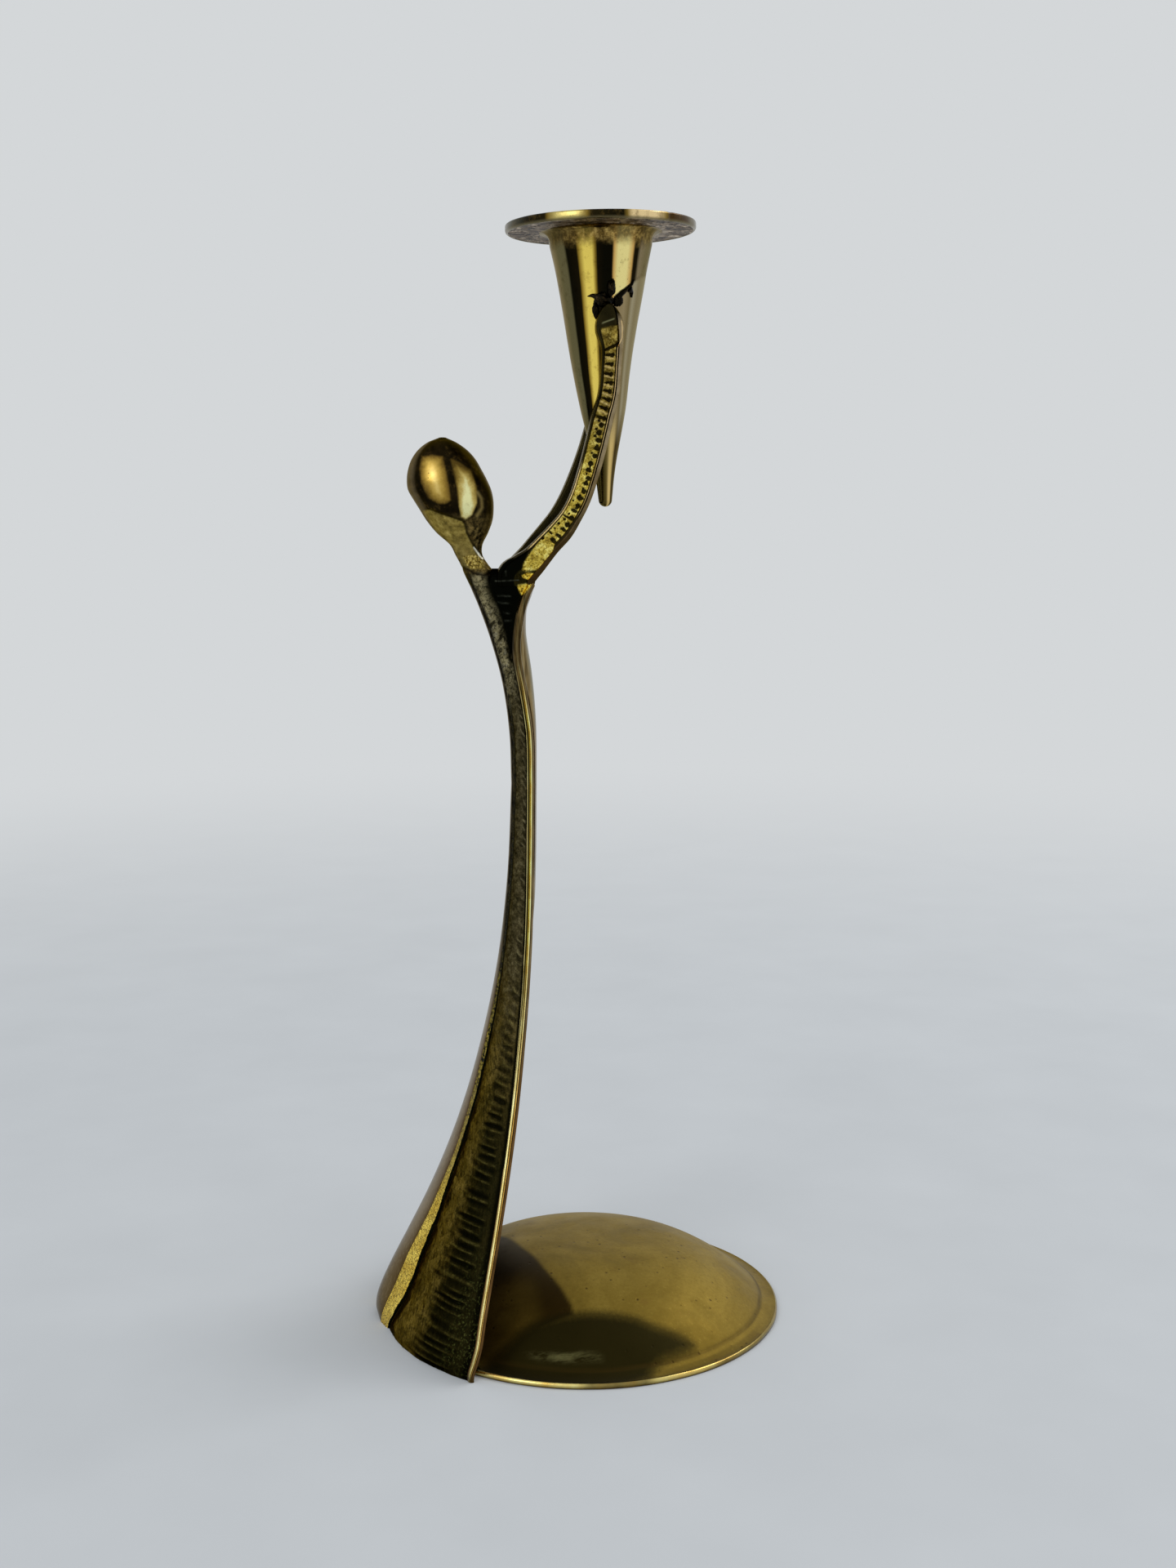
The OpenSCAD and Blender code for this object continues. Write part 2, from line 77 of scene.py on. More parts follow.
# Lines of the solids, as shares, from the same tables as the CAD model
BACK = [[0, .981], [.018, 1], [.048, .979], [.097, .896], [.164, .76], [.248, .596],
        [.339, .447], [.436, .318], [.533, .216], [.63, .134], [.727, .074], [.848, .027], [1, 0]]
RIDGE = [[0, 1], [.014, .99], [.033, .945], [.059, .89], [.097, .832], [.164, .713],
         [.248, .56], [.339, .417], [.436, .291], [.533, .192], [.63, .112], [.727, .056],
         [.848, .02], [1, 0]]
WIDTH = [[0, .978], [.014, .98], [.033, .975], [.059, .955], [.097, .892], [.164, .765],
         [.248, .6], [.339, .45], [.436, .32], [.533, .217], [.63, .135], [.727, .074],
         [.848, .027], [1, 0]]
FRONT = [[0, 1], [.029, .955], [.079, .85], [.148, .725], [.233, .575], [.326, .45],
         [.425, .335], [.524, .25], [.623, .165], [.697, .08], [.753, .028], [.845, .008],
         [1, 0]]
WRAP = [[0, 0], [.248, .36], [.533, .744], [.848, 1], [1, 1]]
EDGE = [[0, 1.2], [.014, 1.2], [.1, 1.15], [.339, 1], [.533, .7], [.727, .25], [.848, .1], [1, .1]]
# The gown's panels, finer than in the solids: height, and a length in millimetres
CROWN_Z = [[0, .1], [4, 1.8], [10, 3], [16, 2.8], [23, 2.15], [33, 2], [42, 1.55], [52, 1.4],
           [64, 1.15], [76, .75], [90, .55], [120, .45], [224, .6]]
BAND_Z = [[0, 6.2], [49, 5.9], [64, 4.7], [76, 4.1], [88, 3.5], [106, 2.6], [125, 1.7],
          [150, 1.3], [224, 1.3]]
FACET_Z = [[0, 5.2], [5, 5.9], [10, 6.3], [15, 6], [24, 4.9], [33, 3.6], [42, 2.7], [49, 2.1],
           [60, 1.8], [80, 1.4], [110, 0.9], [224, .6]]
FACET_OFF_Z = [[0, 1.3], [5, 3.6], [10, 4.9], [15, 5.2], [24, 4.1], [33, 3.5], [42, 2.5],
               [49, 1.9], [60, 1.6], [80, 1.2], [110, .8], [224, .7]]
GROOVE_Z = [[0, .7], [8, 1.3], [20, 1.4], [40, 1.1], [60, .8], [110, .4], [224, .2]]
LEAN = [[0, 0], [.254, .04], [.508, .207], [.729, .494], [.898, .789], [1, 1]]
RIDGE_SWAY = [[0, 0], [.254, .07], [.458, .476], [.678, 1], [.847, .76], [.949, .36], [1, 0]]
NOSE_SWAY = [[0, 0], [.254, 0], [.407, .1], [.576, .33], [.746, .68], [.831, .71],
             [.898, .6], [1, -.03]]
SHOULDER = [[0, 0], [.254, .02], [.508, .13], [.729, .47], [.898, .87], [1, 1]]
HEAD_FRONT = [[0, -NECK_D / HEAD_D], [.09, -.286], [.15, -.21], [.21, -.151], [.28, -.154],
              [.36, -.219], [.44, -.269], [.51, -.284], [.58, -.282], [.65, -.258],
              [.72, -.207], [.79, -.144], [.86, -.074], [.92, .02], [.97, .143], [1, .256]]
HEAD_BACK = [[0, 0], [.09, .071], [.15, .111], [.21, .166], [.28, .23], [.36, .381],
             [.44, .492], [.51, .567], [.58, .643], [.65, .706], [.72, .718], [.79, .701],
             [.86, .656], [.92, .581], [.97, .471], [1, .346]]
NECK_SHARE = NECK_W / HEAD_W
HEAD_HALF = [[0, NECK_SHARE], [.09, NECK_SHARE], [.15, NECK_SHARE], [.21, .37], [.28, .42],
             [.36, .6], [.44, .8], [.51, .92], [.58, .99], [.65, 1], [.72, .97], [.79, .87],
             [.86, .72], [.92, .53], [.97, .3], [1, .1]]
ARM = [[0, 0, 1.68, 1.3, 0, 0, 0], [.005, .029, 1.86, 1.3, .03, 0, 0],
       [.095, .061, 1.54, 1.25, .13, 0, -.2], [.205, .094, 1.3, 1.15, .28, 0, -.5],
       [.348, .146, 1.17, 1.05, .5, 0, -.85], [.494, .198, 1.13, 1, .72, 0, -1],
       [.61, .256, .97, 1, .87, 0, -.95], [.713, .324, .95, 1, .94, 0, -.6],
       [.805, .414, .96, 1, .98, 0, .1], [.885, .506, .98, 1, 1, 0, .7],
       [.965, .609, .98, 1, 1, .18, 1], [1.03, .688, .93, 1, 1, .38, 1],
       [1.05, .787, .92, 1, 1, .75, .6], [1.05, .854, .98, 1, 1, 1, .2],
       [1.02, .915, 1.22, 1, 1, 1, 0], [1.015, .955, 1.04, .95, 1, 1, 0],
       [1.02, .986, .6, .8, 1, 1, 0], [1.03, 1, .15, .6, 1, 1, 0]]
CUP = [[0, .135], [.09, .185], [.17, .25], [.28, .365], [.36, .445], [.5, .555], [.62, .65],
       [.7, .715], [.78, .785], [.9, .89], [1, 1]]


def along(t, rows, k=1):
    """Smooth curve through a table, as in the CAD model."""
    i = 0
    while i < len(rows) - 2 and t >= rows[i + 1][0]:
        i += 1

    def rate(j):
        a, b = max(j - 1, 0), min(j + 1, len(rows) - 1)
        return (rows[b][k] - rows[a][k]) / (rows[b][0] - rows[a][0])

    w = rows[i + 1][0] - rows[i][0]
    s = (t - rows[i][0]) / w
    ma, mb = rate(i) * w, rate(i + 1) * w
    return (rows[i][k] * (2 * s ** 3 - 3 * s ** 2 + 1) + ma * (s ** 3 - 2 * s ** 2 + s)
            + rows[i + 1][k] * (3 * s ** 2 - 2 * s ** 3) + mb * (s ** 3 - s ** 2))


def mix(a, b, t):
    return a + (b - a) * t


def clamp(x, lo=0, hi=1):
    return max(lo, min(hi, x))


def ease(x, lo, hi):
    """0 below lo, 1 above hi, smooth between."""
    s = clamp((x - lo) / (hi - lo))
    return s * s * (3 - 2 * s)


def below(z, rows, low=0):
    return along(max((z - low) / (WAIST_Z - low), 0), rows) if z < WAIST_Z else rows[-1][1]


def above(z, rows):
    return along((z - WAIST_Z) / (SHOULDER_Z - WAIST_Z), rows) if z > WAIST_Z else 0


def grain(x, y, z, size, seed=0):
    """Smooth noise from -1 to 1 with features of that size in millimetres."""
    return noise.noise(Vector((x / size + seed * 7.3, y / size - seed * 3.1, z / size + seed)))


def hill(x, a, b, c, d):
    """0 up to a, 1 from b to c, 0 from d on."""
    return ease(x, a, b) * (1 - ease(x, c, d))


def bell(x, middle, wide):
    return math.exp(-((x - middle) / wide) ** 2)


def gap_to(x, z, a, b):
    """Distance from a place to the straight line between two points."""
    dx, dz = b[0] - a[0], b[1] - a[1]
    t = clamp(((x - a[0]) * dx + (z - a[1]) * dz) / (dx * dx + dz * dz))
    return math.hypot(a[0] + t * dx - x, a[1] + t * dz - z)


def depth_in(x, z, shape):
    """Distance from the outline of a closed shape of points: positive inside it."""
    inside, best = False, 1e9
    for a, b in zip(shape, shape[1:] + shape[:1]):
        best = min(best, gap_to(x, z, a, b))
        if (a[1] > z) != (b[1] > z) and x < a[0] + (z - a[1]) / (b[1] - a[1]) * (b[0] - a[0]):
            inside = not inside
    return best if inside else -best


def cover(x, z, shape, soft):
    """1 inside a closed shape of points, 0 outside it, with a soft edge."""
    return ease(depth_in(x, z, shape), -soft, soft)


def near(x, z, path, wide):
    """1 on a line of points, fading over that distance."""
    return bell(min(gap_to(x, z, a, b) for a, b in zip(path, path[1:])), 0, wide)


def arc(middle, r, first, last, steps, kind=0, rise=None):
    """The points of an arc after its first one, as (radius, height, kind)."""
    turns = [math.radians(mix(first, last, i / steps)) for i in range(1, steps + 1)]
    return [(middle[0] + r * math.cos(a), middle[1] + (rise or r) * math.sin(a), kind)
            for a in turns]


def around(count):
    """That many angles around a full turn."""
    return [2 * math.pi * i / count for i in range(count)]


def make(name, rings, materials, slot, node=None, cell=None, caps=True, sharp=60, weld=False,
         flip=False):
    """A closed piece from rings of points in millimetres, each ring as long as the next.

    A point may carry the values that the paints read. cell gives a face's material.
    """
    n, m = len(rings[0]), len(rings)
    faces = [((j * n + i, (j + 1) * n + i, (j + 1) * n + (i + 1) % n, j * n + (i + 1) % n), i, j)
             for j in range(m - 1) for i in range(n)]
    if caps:
        faces += [(tuple(range(n)), 0, 0),
                  (tuple(range(m * n - 1, (m - 1) * n - 1, -1)), 0, m - 2)]
    mesh = bpy.data.meshes.new(name)
    mesh.from_pydata([[v * MM for v in point[:3]] for ring in rings for point in ring], [],
                     [corners[::-1] if flip else corners for corners, _, _ in faces])
    for material in materials:
        mesh.materials.append(material)
    mesh.polygons.foreach_set("material_index", [cell(i, j) if cell else 0 for _, i, j in faces])
    mesh.polygons.foreach_set("use_smooth", [True] * len(faces))
    for key in rings[0][0][3] if len(rings[0][0]) > 3 else ():
        layer = mesh.attributes.new(key, "FLOAT", "POINT")
        layer.data.foreach_set("value", [float(point[3][key]) for ring in rings for point in ring])
    mesh.validate()
    if weld:
        edit = bmesh.new()
        edit.from_mesh(mesh)
        bmesh.ops.remove_doubles(edit, verts=edit.verts, dist=1e-7)
        edit.to_mesh(mesh)
        edit.free()
    mesh.set_sharp_from_angle(angle=math.radians(sharp))
    mesh.update()
    obj = bpy.data.objects.new(name, mesh)
    bpy.context.scene.collection.objects.link(obj)
    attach(obj, "root")
    if node:
        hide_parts(node)
    return obj


# Materials: everything below is a net of texture nodes

GAIN = 1.35


def rgb(r, g, b, gain=1):
    """A written colour, 0 to 255, as linear light."""
    out = []
    for c in (r / 255, g / 255, b / 255):
        c = c / 12.92 if c <= 0.04045 else ((c + 0.055) / 1.055) ** 2.4
        out.append(min(c * gain, 1))
    return (*out, 1)


def tone(r, g, b):
    """A colour as the photo shows it, raised for the studio's light."""
    return rgb(r, g, b, GAIN)


class Paint:
    """A material, its running colour and short names for its nodes."""

    def __init__(self, name):
        self.material = bpy.data.materials.new(name)
        self.material.use_nodes = True
        self.tree = self.material.node_tree
        self.tree.nodes.clear()
        self.place = self.node("ShaderNodeTexCoord").outputs["Object"]
        self.colour = None

    def put(self, socket, value):
        if isinstance(value, bpy.types.NodeSocket):
            self.tree.links.new(value, socket)
        else:
            socket.default_value = value

    def node(self, kind, inputs=(), **options):
        made = self.tree.nodes.new(kind)
        for key, value in options.items():
            setattr(made, key, value)
        for key, value in dict(inputs).items():
            self.put(made.inputs[key], value)
        return made

    def attr(self, name):
        return self.node("ShaderNodeAttribute", attribute_name=name).outputs["Fac"]

    def math(self, kind, a, b=0):
        return self.node("ShaderNodeMath", {0: a, 1: b}, operation=kind).outputs[0]

    def add(self, a, b):
        return self.math("ADD", a, b)

    def sub(self, a, b):
        return self.math("SUBTRACT", a, b)

    def mul(self, a, b):
        return self.math("MULTIPLY", a, b)

    def stretch(self, x, y, z):
        return self.node("ShaderNodeVectorMath", {0: self.place, 1: (x, y, z)},
                         operation="MULTIPLY").outputs[0]

    def grid(self, place, scale, turn):
        """Places measured on turned axes, in units of that length along each of them."""
        return self.node("ShaderNodeMapping", {"Vector": place, "Scale": scale, "Rotation": turn},
                         vector_type="TEXTURE").outputs[0]

    def noise(self, size, detail=4, rough=0.55, at=None, twist=0):
        """Cloudy texture with features of that size in millimetres, from 0 to 1."""
        return self.node("ShaderNodeTexNoise",
                         {"Vector": at or self.place, "Scale": 1000 / size, "Detail": detail,
                          "Roughness": rough, "Distortion": twist}).outputs["Fac"]

    def waver(self, value, size):
        """A noise moved to both sides of zero."""
        return self.mul(self.sub(value, 0.5), size)

    def ramp(self, value, stops):
        """Each stop is its place, then a number, a colour or the three numbers of a tone."""
        made = self.node("ShaderNodeValToRGB", {"Fac": value})
        rows = made.color_ramp.elements
        while len(rows) < len(stops):
            rows.new(0.5)
        for row, (at, *colour) in zip(rows, stops):
            row.position = at
            if len(colour) == 3:
                row.color = tone(*colour)
            else:
                row.color = colour[0] if isinstance(colour[0], tuple) else (*colour * 3, 1)
        return made.outputs["Color"]

    def rise(self, value, low, high, top=1):
        return self.ramp(value, [(low, 0), (high, top)])

    def fall(self, value, low, high, top=1):
        return self.ramp(value, [(low, top), (high, 0)])

    def pits(self, size, rim, gate, low, high):
        """Round pits of that spacing, where a second noise lets them through."""
        cells = self.node("ShaderNodeTexVoronoi", {"Vector": self.place, "Scale": 1000 / size})
        return self.mul(self.fall(cells.outputs["Distance"], *rim), self.rise(gate, low, high))

    def blend(self, fac, a, b, kind="MIX"):
        made = self.node("ShaderNodeMix", data_type="RGBA", blend_type=kind)
        for place, value in zip((0, 6, 7), (fac, a, b)):
            self.put(made.inputs[place], value)
        return made.outputs[2]

    def lay(self, colour, mask, share=None, kind="MIX"):
        """Lays a colour over the running one where the mask, times the share, lets it."""
        fac = mask if share is None else self.mul(mask, share)
        self.colour = self.blend(fac, self.colour, colour, kind)

    def marks(self):
        """The black recess as painted shade, gilt patches, and pale glints as painted highlights,
        of the shoulders.
        """
        # painted shade in the recess
        self.lay(rgb(6, 7, 4), self.attr("black"), 0.97)
        gilt = self.ramp(self.noise(0.7, 3, 0.7),
                         [(0.38, 96, 74, 18), (0.5, 196, 164, 52), (0.66, 232, 208, 96)])
        self.lay(gilt, self.attr("gilt"))
        # painted highlights
        self.lay(tone(78, 80, 68), self.attr("glint"),
                 self.ramp(self.noise(1.4, 3), [(0.4, 0.1), (0.65, 0.6)]))

    def chest(self, where):
        """The worn strip at the back of the chest, with black painted shade on both its sides."""
        flat = self.grid(self.place, (0.8, 1, 2.4), (0, math.radians(35), 0))
        strip = self.ramp(self.noise(2.6, 5, 0.7), [(0.33, 84, 76, 50), (0.66, 154, 144, 108)])
        ripple, worn = self.noise(1.3, 2, 0.5, at=flat), self.attr("worn")
        speck = self.noise(0.9, 4, 0.75)
        for mask, colour in (
                (self.mul(self.fall(ripple, 0.36, 0.47, 0.85), worn), rgb(22, 20, 11)),
                (self.mul(self.rise(ripple, 0.56, 0.66, 0.6), worn), tone(136, 130, 108)),
                (self.fall(speck, 0.4, 0.5, 0.8), rgb(24, 21, 11)),
                # painted shade beside the strip and on its back edge
                (self.attr("dusk"), rgb(9, 10, 5)),
                (self.attr("border"), rgb(13, 11, 6))):
            strip = self.blend(mask, strip, colour)
        self.lay(strip, where)

    def finish(self, rough, height, depth, tint=None):
        """Aged metal in the running colour; depth is the bump's depth in millimetres."""
        bump = self.node("ShaderNodeBump", {"Height": height, "Distance": depth * MM})
        shader = self.node("ShaderNodeBsdfPrincipled",
                           {"Base Color": self.colour, "Roughness": rough, "Metallic": 1,
                            "Normal": bump.outputs[0]})
        if tint:
            shader.inputs["Specular Tint"].default_value = (*tint, 1)
        self.node("ShaderNodeOutputMaterial", {"Surface": shader.outputs[0]})
        return self.material


def brass(name, dark, mid, light, rough=(0.22, 0.42), spot=6):
    """Aged polished brass: cloudy patina between three tones, with fine scratches and pits."""
    p = Paint(name)
    p.colour = p.ramp(p.noise(spot, 6, 0.62, twist=0.4),
                      [(0.3, dark), (0.5, mid), (0.72, light)])
    hair = p.noise(0.5, 3, 0.6, at=p.stretch(1, 1, 0.18))
    p.lay(light, p.rise(hair, 0.45, 0.75, 0.22))
    hole = p.pits(1.5, (0.05, 0.14), p.noise(4, 2), 0.52, 0.62)
    p.lay(rgb(25, 18, 6), hole, 0.25)
    shine = p.ramp(p.noise(3, 5), [(0.3, rough[0]), (0.75, rough[1])])
    return p.finish(shine, p.sub(p.mul(hair, 0.35), hole), 0.03)


def bands(p, turn, stops, wobble, size):
    """Painted reflections as streaks across a turned piece: a ramp over its turn, with edges that
    waver a little.
    """
    return p.ramp(p.add(turn, p.waver(p.noise(size, 2), wobble)), stops)


# Foot

# Dark shapes on the dome, painted reflections, as (ahead, aside) in millimetres from the foot's
# middle
# painted reflection of the gown
GOWN_SHADE = [(-27.5, 16), (-26, 12.4), (-23.5, 7.6), (-21.8, 2.5), (-20.1, -3.4),
              (-18.1, -8.3), (-16.5, -13.2), (-15.2, -17.9), (-13.9, -21.6), (-12.6, -25.2),
              (-11.5, -28.2), (-10.6, -30.9), (-9.8, -33.8), (-9.1, -35.5), (-9, -39),
              (-16, -40), (-22, -41), (-25.2, -43), (-33, -50), (-60, -40),
              (-60, 16)]
# painted reflection of the dark table edge in front
FRONT_SHADE = [(-38, -46), (-30, -42), (-25.2, -39.8), (-21.5, -38.6), (-16.1, -38.5),
               (-11.3, -38.7), (-6.5, -39), (-2.3, -39.3), (3.5, -40.3), (9.4, -41.3),
               (12.8, -42.6), (16.3, -43.5), (19.9, -44), (23.4, -44.9), (25.5, -46),
               (23.4, -47.8), (20, -49.9), (16.1, -51.5), (13.3, -53.5), (10.2, -57.9),
               (0, -62), (-20, -60), (-40, -52)]
# a pale painted reflection
PALE_REFLECTION = [(-24, -45.8), (-19.5, -46.9), (-13.8, -48.6), (-7.4, -49.6), (-2.8, -50.8),
              (-2.5, -52.4), (-7.8, -52), (-14.1, -50.9), (-19.7, -48.9)]


def dome_paint():
    """Satin brass with painted reflections of the gown and the dark table edge, pitted and
    stained.
    """
    p = Paint("foot_satin_brass")
    cloud = p.noise(26, 7, 0.62, twist=0.6)
    p.colour = p.ramp(cloud, [(0.3, 96, 79, 30), (0.5, 116, 96, 37), (0.72, 134, 113, 49)])
    # painted shade over the lamp's bright spot at the right front
    p.lay(tone(66, 52, 14), p.attr("calm"))
    speck = p.noise(1, 4, 0.72)
    p.lay(tone(84, 66, 20), p.rise(speck, 0.5, 0.74, 0.4))
    p.lay(tone(160, 138, 66), p.fall(speck, 0.28, 0.42, 0.16))
    stain_and_sheen = p.rise(p.noise(9, 5, 0.7), 0.58, 0.72, 0.55)
    p.lay(tone(88, 66, 26), stain_and_sheen)
    hole = p.pits(3.4, (0.06, 0.16), p.noise(9, 3), 0.45, 0.52)
    p.lay(rgb(58, 40, 12), hole, 0.75)
    # painted reflection of the gown
    p.lay(p.ramp(cloud, [(0.35, rgb(38, 26, 6)), (0.65, rgb(54, 40, 8))]), p.attr("shade"))
    # painted reflection of the dark table edge in front
    ragged = p.add(p.attr("low"), p.waver(speck, 0.25))
    p.lay(rgb(33, 29, 10), p.ramp(ragged, [(0.08, 0), (0.55, 0.72), (0.95, 0.97)]))
    # pale painted reflection
    p.lay(tone(104, 100, 62), p.attr("pale"),
          p.rise(p.noise(3, 4, 0.7, at=p.stretch(0.3, 1, 1)), 0.4, 0.65, 0.6))
    # painted shade in the groove
    p.lay(rgb(58, 44, 16), p.attr("crease"), 0.75)
    shine = p.ramp(p.noise(7, 5), [(0.3, 0.42), (0.75, 0.54)])
    high = p.sub(p.mul(speck, 0.2), hole)
    return p.finish(shine, high, 0.05, tint=(0.97, 0.93, 0.85))


def lip_paint():
    """The foot's edge: dark, with a bright line of painted highlight along part of its rounding.
    """
    p = Paint("foot_lip_brass")
    p.colour = p.ramp(p.noise(5, 5, 0.65), [(0.3, 52, 38, 14), (0.7, 104, 82, 36)])
    gold = p.ramp(p.noise(7, 4), [(0.3, 206, 168, 84), (0.7, 240, 212, 138)])
    p.lay(gold, p.attr("bright"))
    return p.finish(0.24, p.noise(0.8, 4, 0.7), 0.03)


def build_foot():
    dome_r = FOOT_R - BRIM_W

    def dome(s):
        return DOME_RISE * (1 - s ** DOME_POWER)

    def sheet(part, steps, r, drop):
        shares = [i / steps for i in range(steps + 1)]
        return [(r * s, max(BRIM_T + dome(s) - drop, 0), part) for s in shares]

    profile = sheet(0, 96, dome_r, 0)
    profile += [(dome_r + (BRIM_W - BRIM_R) * i / 6, BRIM_T, 0) for i in range(1, 7)]
    profile += arc((FOOT_R - BRIM_R, BRIM_T - BRIM_R), BRIM_R, 90, 0, 6, 1)
    profile += arc((FOOT_R - REST_R, REST_R), REST_R, 0, -90, 3, 1)
    profile += sheet(2, 32, dome_r - DOME_T, DOME_T)[::-1]
    rings = []
    for r, z, part in profile:
        if part == 0:
            lift = dome(r / dome_r)
            z = BRIM_T + (lift + math.hypot(lift, BRIM_BLEND * (1 - ease(r, 57, 59.2)))) / 2
        ring = []
        for a in around(288):
            x, y, dz = r * math.cos(a), r * math.sin(a), 0
            marks = dict.fromkeys(("shade", "low", "pale", "crease", "bright", "calm"), 0)
            if part == 0:
                wear = 0.25 + 0.75 * clamp(0.5 + 0.9 * math.cos(a + 0.5))
                groove = bell(r, DOME_GROOVE_R + 0.25 * grain(x, y, 0, 9, 2), 0.42) * wear
                dz = 0.12 * grain(x, y, 0, 24, 1) * clamp(r / 10) - 0.16 * groove
                if r > dome_r:
                    dz += 0.05 * grain(x, y, 0, 6, 3) - 0.05
                # painted shade in the groove and over the lamp's bright spot at the right front
                marks.update(crease=groove, calm=0.7 * bell(x, 24, 25) * bell(y, -40, 16))
                # marks for the painted reflections of the gown, the dark table edge and a pale
                # streak
                if y < 18 and x < 30:
                    fade = mix(0.98, 0.6, ease(-y, 14, 26) * ease(-x, 16, 24))
                    marks.update(shade=fade * cover(x, y, GOWN_SHADE, 0.9),
                                 low=cover(x, y, FRONT_SHADE, 3.2),
                                 pale=cover(x, y, PALE_REFLECTION, 0.9))
            elif part == 1:
                wave = 1 + (0.1 * grain(x, y, 0, 11, 4) - 0.1) / r
                x, y = x * wave, y * wave
                turn = math.degrees(a) - 360
                # painted highlight along part of the rounding
                lit = hill(turn, -152, -140, -102, -94) + 0.85 * hill(turn, -84, -76, -66, -50)
                marks["bright"] = max(lit, 0.25) * ease(z, 0.35, 0.8)
            ring.append((x + FRAME_X, y, z + dz, marks))
        rings.append(ring)
    under = brass("foot_under_brass", rgb(44, 34, 18), rgb(70, 56, 30), rgb(92, 74, 42),
                  rough=(0.5, 0.7), spot=12)
    make("foot_dome", rings, [dome_paint(), lip_paint(), under], "foot_brass", "foot",
         cell=lambda _, j: profile[j + 1][2], caps=False, weld=True, flip=True)


# Shoulders: marks on both flanks, as (distance ahead, height) in millimetres

# the recess between arm and body, laid black as painted shade
RECESS = [(-28.4, 229.8), (-24, 232.6), (-19.8, 234.2), (-17.4, 235.4), (-18.4, 231.9),
          (-19.2, 230.3), (-19.4, 228.8), (-18.4, 228.4), (-14.4, 228.9), (-13.6, 227.6),
          (-16, 225), (-20.6, 224.2), (-20.9, 223), (-20.1, 221.3), (-21, 218.6),
          (-21.7, 212.2), (-22.2, 205.7), (-22.8, 200), (-23.3, 204), (-24.4, 210),
          (-25.2, 214.4), (-26.8, 218.7), (-28.2, 223), (-28.9, 226.1)]
GILT = [[(-19.6, 227), (-18.1, 228), (-16.3, 227.7), (-14, 228.5), (-14.4, 227.2),
         (-16.3, 225.8), (-17.9, 225.9), (-19.2, 226.3)],
        [(-20.9, 223.9), (-19.2, 224.4), (-16.6, 224.8), (-17.2, 223.6), (-18.7, 222),
         (-19.5, 221.2), (-20.3, 222.6)]]
# pale glints: painted highlights
GLINTS = [[(-26.6, 221.2), (-22.9, 221.1)], [(-26.4, 219.2), (-23.5, 218.9)],
          [(-24.9, 216.2), (-23.1, 215.8)], [(-24.5, 213.7), (-22.5, 213.7)],
          [(-27.2, 225.4), (-20.5, 225.7)], [(-24.3, 228.4), (-24.2, 227)]]
WORN_EDGE = [[197, -21.1], [204, -22.8], [210, -24.2], [214, -25.8], [217.5, -26.8], [221, -28.8],
             [224.4, -30], [230, -30]]
STRIP_EDGE = [[197, -24.3], [204, -26.3], [210, -27.9], [214, -29], [217.5, -30.4], [221, -31.9],
              [224.3, -33.3], [227, -34.2], [230, -35]]


def chest_marks(u, z):
    """The black painted shade beside the worn strip, the black painted shade of its back edge, and
    how rippled it is.
    """
    z = clamp(z, 197, 230)
    dark, start = along(z, WORN_EDGE), along(z, STRIP_EDGE)
    return {"dusk": ease(u, dark - 2.2, dark + 1.2),
            "border": 0.95 * (1 - ease(u, start - 0.4, start + 0.5)),
            "worn": 1 - ease(z, 214, 221)}


def shoulder_marks(u, z):
    """How black (painted shade), gilt and glinting (painted highlight) the shoulders are at a
    place.
    """
    if not 199 < z < 236:
        return {"black": 0, "gilt": 0, "glint": 0}
    return {"black": cover(u, z, RECESS, 0.5),
            "gilt": max(cover(u, z, shape, 0.2) for shape in GILT),
            "glint": max(near(u, z, line, 0.16) for line in GLINTS)}


# Body: the same outline as the solid, with its facets, ribs and rim lines

BAND, FACET, GROOVE, PANEL, RIM, EDGE_FACE, HOLLOW = range(7)
RIM_STOPS = [0, .03, .08, .14, .2, .25, .28, .3, .32, .345, .37, .39, .41, .45, .5, .55, .6,
             .635, .66, .68, .72, .78, .84, .9, .95, 1]
BODY_COLUMNS = ([(BAND, i / 12) for i in range(13)] + [(FACET, i / 8) for i in range(1, 9)]
                + [(GROOVE, i / 4) for i in range(1, 5)] + [(PANEL, i / 52) for i in range(1, 53)]
                + [(RIM, s) for s in RIM_STOPS] + [(EDGE_FACE, i / 4) for i in range(1, 5)]
                + [(HOLLOW, i / 18) for i in range(1, 19)])


def rib_height(s, z):
    """Cast ribs across the side panels: (0 in a valley to 1 on a crest, how strong they are)."""
    low = 1 - ease(z, 60, 120)
    begin = mix(0.62, 0.44, low) + 0.22 * grain(0, z, 0, 2.6, 3) + 0.08 * grain(0, z, 0, 0.9, 4)
    end = mix(1, 0.9, low) + 0.09 * grain(0, z, 0, 2.2, 5)
    slope = mix(5.5, 1.5, low) * s
    pitch = mix(STEM_PITCH, RIB_PITCH, low)
    warp = 0.55 * grain(s * 2, z, 0, 7, 6) + 0.14 * grain(s * 5, z, 0, 2, 7)
    wave = 0.5 + 0.5 * math.cos(2 * math.pi * ((z + slope) / pitch + warp))
    narrow = mix(1.4, 3.2, ease(s, begin, end))
    strong = hill(s, begin - 0.08, begin + 0.16, end - 0.12, end)
    strong *= clamp(0.8 + 1.1 * grain(s * 2, z, 0, 2.6, 9), 0.3, 1)
    return wave ** narrow, strong


